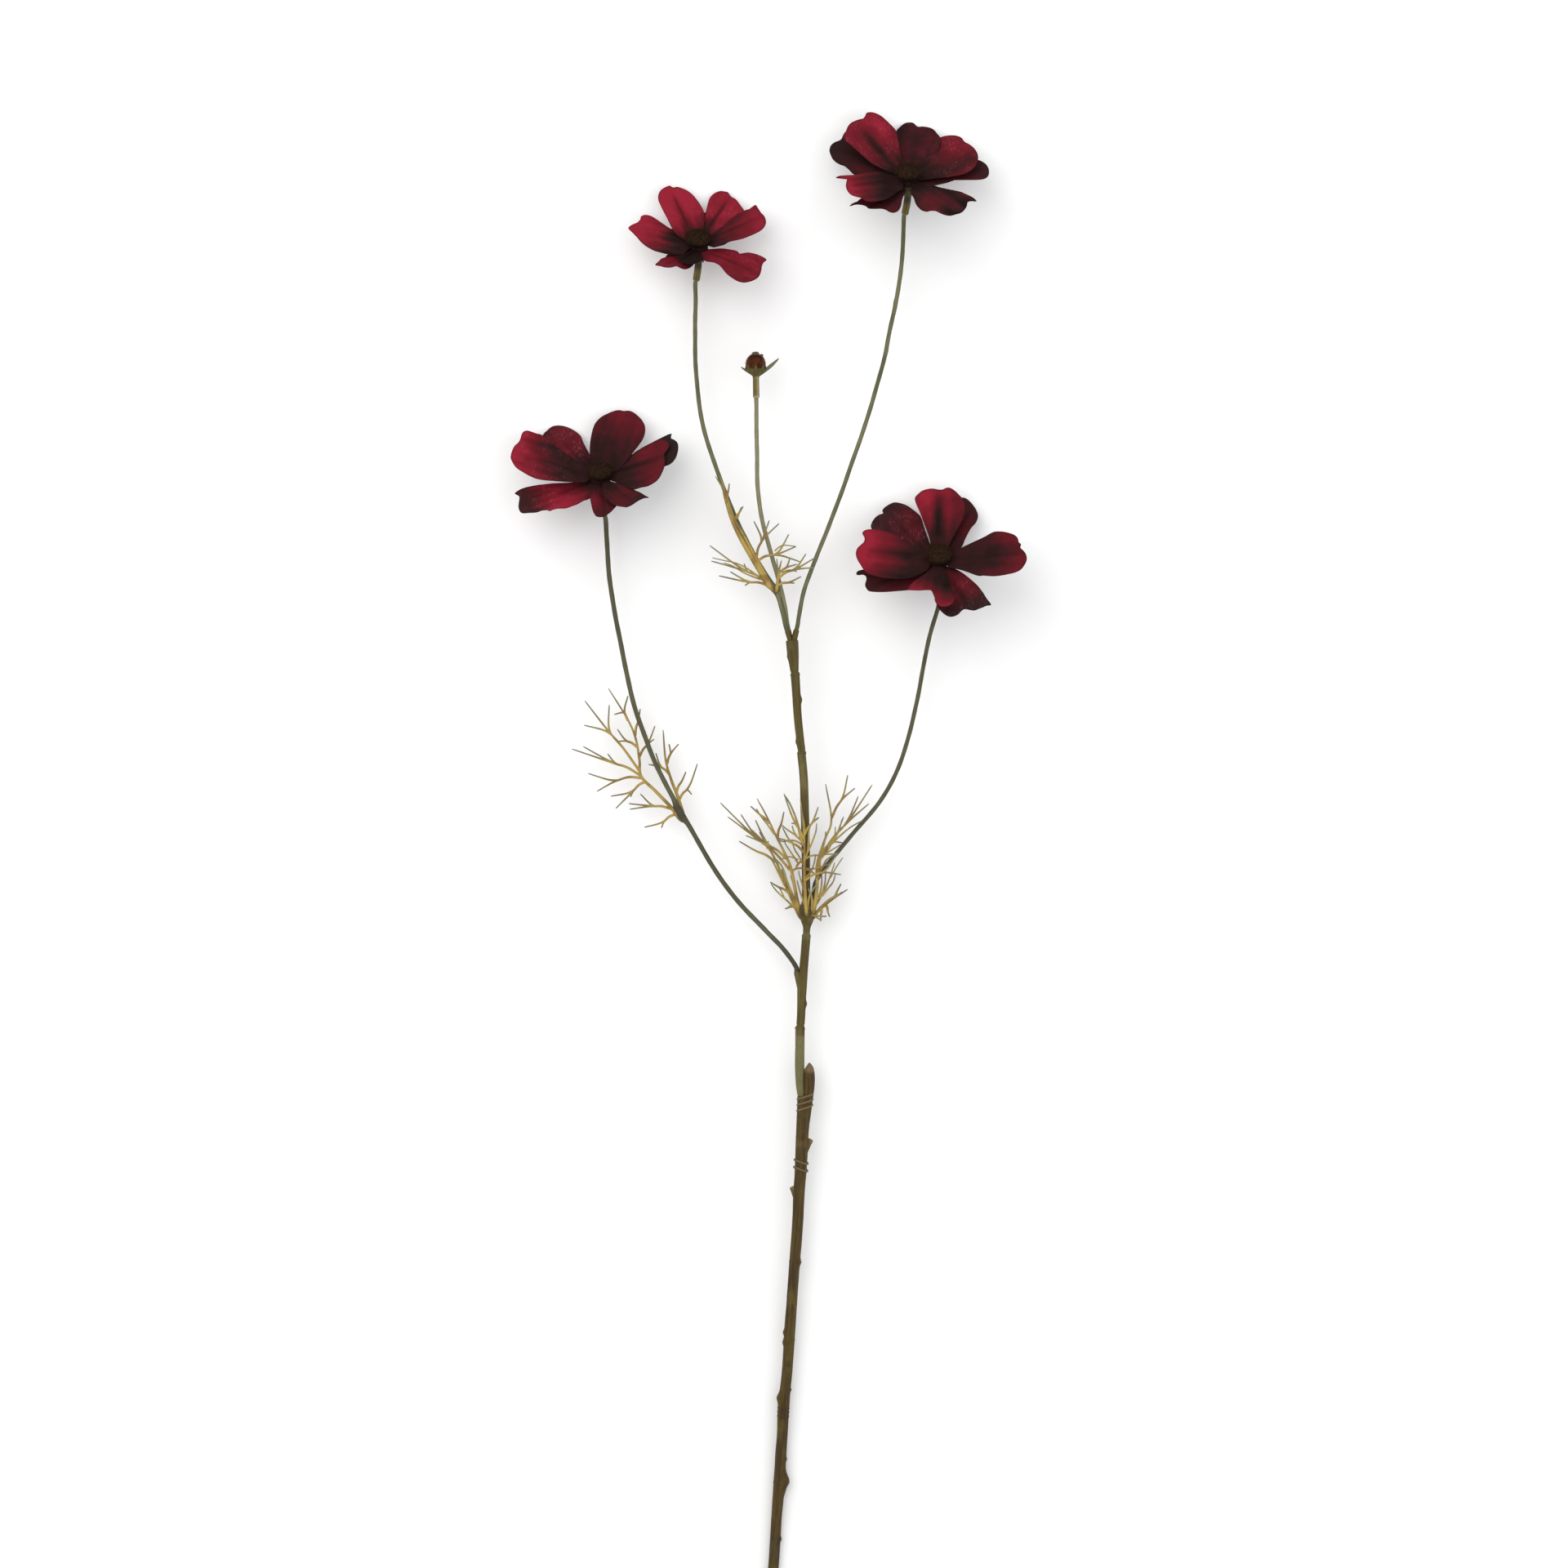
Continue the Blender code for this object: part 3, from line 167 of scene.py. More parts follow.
PETALS_B = [
    petal(LOWER, 92, 3, 6, 27.0, ((0.3, 0.05), (0.6, 0.3), (1, 0.4)), [
        (847, 292), (847, 276), (852, 265), (858, 261), (864, 260.5), (869, 266), (871, 278),
        (867, 291)]),
    petal(LOWER, 329, -9, -6, 31.0, ((0.05, 0.6), (0.17, 0.85), (0.5, 0.85), (1, 0.85)), [
        (858, 306), (868, 305.3), (878, 304.5), (885, 304.3), (893, 305.3), (902, 307.3),
        (905, 310), (907.5, 313.2), (911, 311.6), (914.5, 309.3), (920, 309.8), (927, 311.5),
        (934, 314.5), (938.8, 318.2), (935, 321.5), (933, 326), (932, 332), (930, 337.5),
        (926, 341.5), (920, 344.3), (912, 346), (905, 345), (898, 341.5), (890, 335.5),
        (884.5, 329), (880, 324.3), (873, 321.3), (865, 320), (856, 316)],
        gather=2.6, pile=0.6,
        patches=((0.3, -0.6, 0.3, 0.4, 0.2), (0.75, 0.8, 0.3, 0.4, -0.15))),
    petal(LOWER, 240, 2, 4, 27.5, ((0.15, 0.2), (0.45, 0.75), (0.8, 0.9)), [
        (852, 316), (850, 323), (845, 327.8), (838.5, 329.8), (832.5, 328), (828, 326),
        (822, 327.5), (815, 327.5), (809, 326), (802.3, 324.4), (806, 320.5), (810, 316.7),
        (815, 314.8), (817.5, 311.5), (828, 307), (842, 304)],
        pile=0.4, grey=0.3),
    petal(LOWER, 272, 12, 8, 26.0, ((0.2, -0.2), (1, -0.2)), [
        (861, 315), (859, 319), (855, 321.5), (847, 323.5), (838, 322), (830.5, 317), (828.5, 311),
        (832, 306), (842, 303.5)]),
    petal(UPPER, 169, 4, 6, 30.0, ((0.25, 0), (0.38, 0.3), (0.52, 0.85), (0.9, 1.25)), [
        (836, 312), (817, 311), (808, 309), (800, 306.5), (791, 301.5), (784.5, 296), (779, 289.5),
        (773.5, 284), (769.3, 279.2), (774.5, 275), (780.5, 272.3), (784, 268.5), (784.6, 265.3),
        (789, 263.2), (795, 263.8), (801, 266.5), (807, 271), (813, 275.5), (818, 278.8),
        (825, 281), (838, 286)],
        pile=0.3, patches=((0.6, -0.8, 0.3, 0.35, -0.25),)),
    petal(UPPER, 113, 16, 12, 32.0, ((0.12, 0.05), (0.25, 0.5), (0.4, 0.95), (0.9, 1.28)), [
        (838, 294), (828, 287), (822.5, 278.5), (818, 269.5), (813, 260), (809, 252), (806.2, 245),
        (806.2, 238.5), (809, 233), (814.5, 229.3), (820, 227.3), (822.8, 228.8), (825.5, 229.8),
        (828, 228.8), (833, 229.8), (841, 233), (848, 238.3), (854, 245.5), (859, 253), (862, 260),
        (862.5, 272), (861, 288)],
        pile=0.3, fold=(-0.05, 0.1, -0.5, 0.8)),
    petal(0.5 * UPPER, 65, 12, 12, 32.0,
          ((0.14, 0), (0.3, 0.38), (0.48, 0.88), (0.95, 1.03)), [
        (858, 290), (861.5, 275), (863.5, 263), (866, 252), (868.5, 243.5), (873, 238), (878, 235),
        (883, 234), (888, 234.6), (891.5, 235.5), (893.6, 238.5), (896, 241.3), (900, 243.2),
        (904, 247.5), (908, 253), (911, 258), (909, 266), (900, 276), (885, 286), (872, 292)],
        pile=0.5, fold=(-0.15, 0.1, -0.5, 0.8)),
    petal(UPPER, 22, 13, 2, 31.5, ((0.2, 0.05), (0.35, 0.38), (0.6, 0.72), (0.9, 0.95)), [
        (872, 288), (887, 275.5), (900, 264), (911, 258), (918, 255.8), (922, 252.8),
        (925.2, 250.8), (928, 254.5), (932, 260.5), (936, 264.8), (938, 271), (936.5, 277),
        (932, 282), (925, 286), (917, 289.5), (909, 292.5), (900, 294.5), (892, 296.5), (886, 300),
        (874, 303)],
        patches=((0.6, -0.75, 0.3, 0.3, -0.35),)),
]
PETALS_C = [
    petal(LOWER, 80, 7, 12, 37.0, ((0.2, 0.15), (0.5, 0.32), (1, 0.25)), [
        (1105, 208), (1100, 192), (1097, 176), (1096.8, 164), (1098, 159.5), (1103, 154.5),
        (1108, 151), (1113, 150), (1118, 150.5), (1121.3, 153.3), (1124, 155.3), (1130, 155),
        (1137, 156), (1143, 158.5), (1147, 163), (1151.5, 169.5), (1150, 182), (1142, 196),
        (1125, 211)],
        pile=0.2, patches=((0.85, -0.8, 0.25, 0.35, -0.28),)),
    petal(LOWER, 158, 4, 10, 36.5, ((0.3, 0.1), (0.6, 0.15), (1, 0.1)), [
        (1098, 222), (1075, 216), (1058, 215), (1046, 213.8), (1040, 208.3), (1034, 203.5),
        (1028, 201.3), (1021, 196.5), (1017.2, 190), (1015.6, 184), (1017.2, 178.5),
        (1021.5, 174.5), (1027, 172.3), (1030.3, 170.3), (1032.6, 165), (1037, 161), (1048, 168),
        (1063, 182), (1082, 198), (1102, 212)],
        grey=0.5, patches=((0.45, -0.5, 0.3, 0.4, 0.15),)),
    petal(LOWER, 9, 0, 6, 35.5, ((0.3, 0.22), (0.6, 0.42), (1, 0.27)), [
        (1125, 212), (1150, 208), (1175, 202), (1190, 198), (1197.5, 196), (1203, 198), (1208, 202),
        (1211, 208), (1210.3, 215), (1206, 218.7), (1200, 220), (1192, 220), (1185, 219.5),
        (1177, 218.8), (1171, 220), (1165, 222), (1158, 224.3), (1150, 226), (1144, 227),
        (1128, 226)],
        grey=0.5),
    petal(LOWER, 228, 0, -2, 32.5, ((0.2, 0.18), (0.6, 0.4), (1, 0.28)), [
        (1108, 236), (1105, 244), (1103, 253), (1099.5, 258.5), (1094, 260.6), (1089, 259.5),
        (1084, 256.8), (1079, 255.6), (1071, 255.8), (1064, 255.3), (1060, 252.5), (1055, 251),
        (1049, 250.5), (1044, 251.5), (1040.2, 252.6), (1043.5, 249.3), (1049, 247.3),
        (1053.5, 243.5), (1062, 240), (1078, 235), (1098, 228)],
        grey=0.4, patches=((0.5, 0.5, 0.3, 0.3, 0.2),)),
    petal(UPPER, 125, 15, 14, 38.0,
          ((0.18, 0.05), (0.3, 0.42), (0.55, 0.66), (0.95, 0.82)), [
        (1098, 214), (1085, 209), (1075, 204), (1066, 199), (1058, 192), (1049, 184), (1041, 177),
        (1035, 172), (1033, 166), (1036, 160), (1038, 155), (1042, 150.5), (1048, 147.5),
        (1053, 146), (1057, 145), (1059.5, 141.5), (1061, 138.3), (1066, 137.3), (1072, 138.5),
        (1079, 142), (1086, 148), (1092, 154), (1097, 160), (1099, 170), (1098, 185), (1101, 205)],
        pile=0.7, fold=(-0.1, 0.16, -0.55, 0.8), patches=((0.7, 0.6, 0.3, 0.3, 0.3),)),
    petal(UPPER, 31, 4, 8, 33.5, ((0.25, 0), (0.42, 0.35), (0.65, 0.7), (0.95, 0.8)), [
        (1122, 214), (1131, 198), (1140, 181), (1146, 172), (1151, 168.4), (1158, 166.4),
        (1166, 165.7), (1172, 166.4), (1177.5, 168.8), (1181, 173.5), (1187, 176.8), (1193, 181.7),
        (1197, 188.5), (1197.5, 196), (1193, 205), (1184, 211.5), (1172, 215), (1158, 217),
        (1142, 219), (1124, 221)],
        pile=0.7, patches=((0.75, 0.45, 0.35, 0.35, -0.5),)),
    petal(UPPER, 210, 5, 5, 31.0, ((0.3, -0.1), (0.45, 0.25), (0.62, 0.6), (0.8, 1.05)), [
        (1106, 231), (1099, 235), (1092, 240), (1085, 243.8), (1077, 246), (1068, 247), (1060, 246),
        (1054, 242.3), (1048, 240.8), (1042, 238.5), (1037.5, 233.5), (1035.8, 228),
        (1036.3, 222.5), (1037.2, 219.3), (1032, 218.4), (1027, 217), (1022.8, 218), (1027, 215.6),
        (1033, 214.8), (1040, 214.4), (1048, 214), (1058, 212), (1072, 210), (1088, 212),
        (1102, 217)],
        gather=1.8,
        patches=((0.75, -0.5, 0.2, 0.4, 0.1), (1.0, 0.5, 0.08, 0.2, -0.9))),
    petal(UPPER, 313, 0, 0, 35.0,
          ((0.12, -0.1), (0.3, 0.3), (0.5, 0.55), (0.75, 0.6), (0.95, 0.1)), [
        (1124, 226), (1144, 227.3), (1150, 230.5), (1156, 233.7), (1162, 235), (1170, 234.6),
        (1176, 234.8), (1182, 237.3), (1188, 240), (1193, 243), (1195.8, 246.7), (1190, 246.3),
        (1185, 247.5), (1184, 252), (1181, 257), (1177, 260.5), (1170, 262.7), (1163, 264.2),
        (1156, 263), (1150, 260.5), (1146, 258.6), (1140, 258.2), (1135, 259.2), (1129, 257.7),
        (1124, 253.5), (1121, 249), (1119, 243), (1115.5, 237)],
        patches=((0.55, -0.45, 0.45, 0.3, -0.7), (0.78, 0.38, 0.2, 0.28, -0.9))),
]
PETALS_D = [
    petal(LOWER, 71, -2, 8, 34.5, ((0.2, 0.15), (0.6, 0.5), (1, 0.3)), [
        (1152, 672), (1160, 650), (1168, 628), (1173, 613), (1178.5, 609.3), (1184, 611),
        (1189, 615.5), (1194, 622), (1197.2, 629), (1197.3, 634), (1195, 640), (1190, 645.5),
        (1186, 652), (1181.5, 661), (1178, 669), (1168, 680)],
        pile=0.2, grey=0.6, patches=((0.8, 0.8, 0.3, 0.3, -0.1),)),
    petal(LOWER, 128, 2, 10, 37.5, ((0.2, 0.1), (0.45, 0.4), (0.8, 0.42), (1, 0.2)), [
        (1132, 682), (1108, 668), (1086, 655), (1071, 650), (1066.5, 646), (1067.5, 640),
        (1071, 634.5), (1076, 630.5), (1081.5, 628.5), (1080.2, 625.5), (1083, 621.5),
        (1089, 617.5), (1095, 615.2), (1102, 616), (1110, 618.7), (1117, 623.3), (1124, 629),
        (1128, 634), (1130.5, 642), (1133, 652), (1142, 674)],
        pile=1, grey=0.6, patches=((0.8, -0.6, 0.25, 0.4, -0.15),)),
    petal(LOWER, 292, 3, 0, 34.0, ((0.12, 0.15), (0.28, 0.6), (0.6, 0.5), (0.85, 0.15)), [
        (1166, 695), (1174, 698.7), (1182, 704), (1190, 710.5), (1197, 717), (1203, 724.5),
        (1208, 732.5), (1213.7, 740.5), (1208, 741.7), (1203, 744), (1198, 745.8), (1193, 747.6),
        (1187, 746.8), (1181, 746), (1177, 748.5), (1173, 752.5), (1167, 755), (1162, 755),
        (1157, 752.5), (1151, 747), (1147, 741), (1145, 730), (1147, 714), (1152, 702)],
        pile=1, grey=0.8, patches=((0.75, 0.8, 0.3, 0.35, -0.35),)),
    petal(LOWER, 198, -6, 4, 34.0, ((0.3, 0.36), (0.5, 0.45), (1, 0.3)), [
        (1142, 706), (1133, 716), (1122, 721.5), (1110, 722.8), (1096, 724), (1080, 725),
        (1066, 724.3), (1061.5, 721.5), (1059.2, 716), (1060.8, 710), (1060.3, 706), (1057, 703.8),
        (1053, 703.8), (1049.7, 704.3), (1048.3, 702), (1050.5, 699.2), (1056, 697.7), (1064, 697),
        (1085, 695), (1112, 692), (1134, 690)],
        grey=0.7),
    petal(UPPER, 177, 4, 10, 35.0, ((0.3, 0.05), (0.45, 0.35), (0.6, 0.7), (0.9, 1.15)), [
        (1136, 698), (1122, 705), (1108, 708.5), (1092, 708.3), (1077, 706.5), (1064, 703),
        (1058.5, 699), (1054, 692), (1050, 685.5), (1048, 679), (1049, 672.5), (1053, 668),
        (1057.5, 664), (1058.8, 659.5), (1057.3, 656), (1055.8, 652.5), (1059, 649.3), (1066, 648),
        (1076, 649), (1090, 652.5), (1106, 661), (1120, 668), (1137, 677)],
        fold=(0.1, 0.1, -0.3, 0.7), patches=((0.65, -0.8, 0.35, 0.35, -0.35),)),
    petal(UPPER, 90, 10, 12, 35.0,
          ((0.28, 0.14), (0.45, 0.4), (0.65, 0.75), (0.95, 0.95)), [
        (1141, 674), (1137, 656), (1133, 645), (1130, 637), (1127, 629), (1124, 622), (1121, 615),
        (1120.3, 609.5), (1124, 605), (1129, 601), (1135, 599), (1142, 598.2), (1149, 599.4),
        (1154, 599.4), (1158, 597.6), (1162, 597), (1166, 598.7), (1170, 601.5), (1174, 605.5),
        (1178, 610), (1181.5, 618), (1180.5, 630), (1176, 641), (1169, 654), (1160, 672)],
        patches=((0.62, -0.08, 0.3, 0.17, -0.55), (0.85, -0.6, 0.3, 0.4, 0.12),
        (0.8, 0.6, 0.3, 0.4, -0.3))),
    petal(UPPER, 352, 12, 6, 38.0, ((0.35, 0.05), (0.6, 0.08), (0.8, 0.35), (0.97, 0.6)), [
        (1160, 680), (1172, 672.5), (1180, 669.3), (1190, 664.5), (1200, 660), (1208, 656),
        (1215, 652), (1220, 650.8), (1228, 651), (1236, 652.7), (1243, 655.5), (1246.5, 659.5),
        (1247.5, 664), (1250.5, 666.5), (1249.3, 670.5), (1253, 674), (1256.5, 679), (1257.3, 685),
        (1255, 691), (1250.5, 697), (1244, 700.7), (1235, 703), (1225, 704.8), (1215, 705.6),
        (1204, 704.8), (1199, 705.3), (1192, 703.3), (1184, 700.3), (1175, 697.5), (1162, 695)],
        patches=((0.75, 0.85, 0.35, 0.3, 0.35), (0.7, -0.85, 0.3, 0.3, 0.25))),
    petal(UPPER, 275, 11, 8, 36.0, ((0.2, 0.05), (0.45, 0.2), (0.7, 0.75), (0.95, 1.1)), [
        (1160, 702), (1163, 712), (1166.5, 724), (1168.5, 733), (1166, 739), (1160, 742.3),
        (1152, 742.3), (1147.5, 739), (1144, 731), (1141, 724), (1138, 722.5), (1130, 722.8),
        (1123, 723), (1112, 722), (1115, 716), (1121, 711), (1130, 706), (1140, 698)],
        patches=((0.55, -0.65, 0.4, 0.4, -0.5), (0.7, 0.6, 0.3, 0.3, 0.25))),
]

# Blooms: the middle on the plan and its height, the tilt of the face in degrees, and the
# sleeve's end on the plan with how far it lies below the middle, in mm.
BLOOMS = {
    "a": {"at": (735, 588), "tilt": 52, "height": 22.612, "neck": (740.3, 631), "drop": 9.0,
          "petals": PETALS_A},
    "b": {"at": (855, 303), "tilt": 52, "height": 19.668, "neck": (852.5, 343), "drop": 10.0,
          "petals": PETALS_B},
    "c": {"at": (1112, 222), "tilt": 52, "height": 25.608, "neck": (1108, 262), "drop": 10.0,
          "petals": PETALS_C},
    "d": {"at": (1149, 688), "tilt": 42, "height": 24.545, "neck": (1148.7, 737), "drop": 10.5,
          "petals": PETALS_D},
}

# Stumps that the stalks stand on: start and end on the plan, each with its height above the
# stem's middle line, and the radius, which changes by the shares under STUMP_RADII.
STUMPS = {
    "a": ((981, 1216, 0.0), (975.2, 1189, 0.0), 1.3),
    "d": ((989, 1116, 0.0), (992.8, 1104, -2.4), 1.35),
    "b": ((969, 790, 0.6), (963.3, 771, 1.1), 1.05),
    "bud": ((970, 790, -0.6), (965.6, 771, -1.2), 1.05),
    "c": ((971, 790, 0.0), (975.3, 771, 0.0), 1.3),
}
STUMP_RADII = [(0, 1.0), (0.9, 1.0), (1, 0.8)]
STUMP_RINGS = 30

# Routes of the stalks on the plan, from the stem to the bloom or the bud.
STALKS = {
    "a": [(957.5, 1160), (938, 1140), (900.5, 1100), (872, 1060), (849, 1020), (826, 980),
          (805, 940), (789, 900), (775.5, 860), (766.5, 820), (758.5, 780), (751, 740),
          (745.5, 700), (743, 660)],
    "b": [(957, 745), (949, 722), (926, 684), (903.5, 640), (887, 600), (872.5, 560),
          (860.5, 520), (854.5, 480), (851.5, 440), (851.2, 400), (851.8, 370)],
    "bud": [(961, 742), (955.5, 718), (946, 684), (934, 640), (928, 600), (927, 560),
            (926.3, 520)],
    "c": [(978.3, 754), (985.5, 720), (1000.5, 680), (1016.5, 640), (1031.5, 600), (1045.5, 560),
          (1059.5, 520), (1071.5, 480), (1082.5, 440), (1090.5, 400), (1099, 360), (1105, 312)],
    "d": [(999, 1080), (1012, 1060), (1045, 1020), (1078.5, 980), (1100, 940), (1113, 900),
          (1122.5, 860), (1130, 820), (1138, 780)],
}
STALK_RADIUS = {"a": 1.05, "b": 0.95, "c": 0.95, "d": 0.95, "bud": 0.95}
STALK_LIGHT = {"a": -0.55, "b": 0.1, "c": 0.1, "d": -0.5, "bud": 0.85}
STALK_INSET = 0.6
STALK_STRAIGHT = 2.5
STALK_SIDES = 16
RINGS_PER_SPOT = 40

# Swellings on the stalks: plan position, side, height, length and change of tone.
KNOBS = {
    "a": ((827, 990, -1, 1.5, 2.6, -0.5), (834, 1001, -1, 1.5, 2.8, -0.5)),
    "b": ((948, 722, 1, 0.8, 2.2, 0.3), (948, 722, -1, 0.6, 2.2, 0.0)),
    "c": ((1092, 369, -1, 0.8, 1.6, 0.1), (1090, 431, 1, 0.8, 1.6, 0.1)),
}

# Leaves: the rib as plan positions with heights, then twigs as the share of the rib where each
# one starts, where it forks, and the plan positions of its tips. Twigs rise by TWIG_RISES in
# turn, times the leaf's own rise, which is 1 where it isn't given.
LEAVES = {
    "leaf_low_front": {
        "rise": -0.5,
        "rib": [(832.5, 1003, 12.3), (822, 989, 11.9), (803, 969, 11.4), (785, 950.5, 11.0),
                (783, 930, 10.9), (778, 903, 10.9), (768, 880, 11.0), (745, 843, 11.4)],
        "twigs": [
            (0.04, 0.50, [(789, 1013), (810, 1014)]),
            (0.08, 0.45, [(770, 984), (784, 972), (771, 991)]),
            (0.33, 0.45, [(748, 975), (754, 990), (772, 976)]),
            (0.36, 0.50, [(720, 947), (731, 969)]),
            (0.38, 0.45, [(700, 917), (714, 914), (744, 923)]),
            (0.40, 0.62, [(716, 858), (746, 863), (715, 888)]),
            (0.50, 0.50, [(802, 889), (801, 905)]),
            (0.57, 0.50, [(756, 893), (756, 908)]),
            (0.64, 0.50, [(784, 868)]),
            (0.75, 0.50, [(752, 875), (769, 852)]),
        ],
    },
    "leaf_low_back": {
        "rib": [(835, 992, 10.75), (829, 973, 10.2), (822, 955, 9.8), (815, 930, 9.6),
                (812, 894, 9.4)],
        "twigs": [
            (0.12, 0.50, [(854, 935), (847, 973)]),
            (0.22, 0.50, [(840, 945)]),
            (0.45, 0.45, [(794, 936), (803, 922)]),
            (0.58, 0.50, [(819, 911), (831, 911)]),
        ],
    },
    "leaf_middle_left": {
        "rib": [(977.4, 1112, 13.4), (972, 1080, 15.0), (966, 1056, 16.0), (950, 1023, 17.0),
                (938, 998, 17.6), (927, 978, 18.0)],
        "twigs": [
            (0.32, 0.50, [(882, 983), (891, 1000), (907, 997)]),
            (0.42, 0.50, [(913, 1023), (930, 1015)]),
            (0.62, 0.50, [(960, 994)]),
            (0.76, 0.50, [(919, 987)]),
        ],
    },
    "leaf_middle_left_low": {
        "rib": [(977.7, 1119, 12.6), (964, 1088, 12.2), (948, 1050, 12.0), (934, 1030, 11.6),
                (916, 1012, 11.2)],
        "twigs": [
            (0.10, 0.50, [(961, 1113)]),
            (0.22, 0.50, [(943, 1080)]),
            (0.55, 0.50, [(905, 1030)]),
            (0.70, 0.50, [(925, 1004)]),
        ],
    },
    "leaf_middle_front": {
        "rib": [(987, 1112, 17.35), (985, 1075, 17.8), (985, 1035, 18.4), (984, 1016, 18.8),
                (980, 978, 19.4)],
        "twigs": [
            (0.25, 0.50, [(1025, 1046), (1030, 1071)]),
            (0.50, 0.50, [(952, 1026), (958, 1013)]),
            (0.62, 0.50, [(960, 972), (969, 1008)]),
            (0.66, 0.50, [(1002, 988), (1003, 1001)]),
        ],
    },
    "leaf_middle_right": {
        "rib": [(997, 1112, 16.1), (1000.5, 1085, 16.0), (1001, 1057, 15.4), (1010, 1028, 15.8),
                (1018, 1004, 16.4), (1011, 960, 17.0)],
        "twigs": [
            (0.36, 0.55, [(1068, 961), (1051, 975), (1064, 984)]),
            (0.42, 0.50, [(1033, 1000), (1032, 1032)]),
            (0.72, 0.50, [(1038, 949), (1047, 965)]),
        ],
    },
    "leaf_middle_right_low": {
        "rib": [(1000.2, 1117, 12.4), (1018, 1102, 12.2), (1038, 1089, 12.0)],
        "twigs": [
            (0.15, 0.50, [(1005, 1128)]),
            (0.30, 0.50, [(1016, 1123)]),
            (0.55, 0.50, [(1030, 1082)]),
        ],
    },
    "leaf_top_left": {
        "rib": [(945.3, 721.5, 19.35), (938, 706, 19.5), (926, 684, 19.3), (912, 658, 18.9),
                (899, 635, 18.5), (889, 606, 18.2), (876, 583, 18.4)],
        "twigs": [
            (0.04, 0.45, [(869, 668), (871, 687), (911, 690)]),
            (0.02, 0.50, [(880, 705), (894, 700), (912, 717)]),
            (0.27, 0.45, [(923, 638), (942, 637), (954, 641)]),
            (0.25, 0.45, [(966, 654), (975, 669), (980, 688)]),
            (0.62, 0.50, [(910, 620)]),
            (0.80, 0.50, [(893, 592)]),
        ],
    },
    "leaf_top_right": {
        "rib": [(951.3, 720.5, 19.35), (952.5, 708, 20.6), (953.5, 700, 21.2), (957, 686, 21.6)],
        "twigs": [
            (0.10, 0.50, [(981, 706), (973, 714)]),
            (0.35, 0.45, [(998, 683), (997, 695), (987, 678)]),
            (0.50, 0.50, [(967, 684), (976, 691)]),
        ],
    },
}

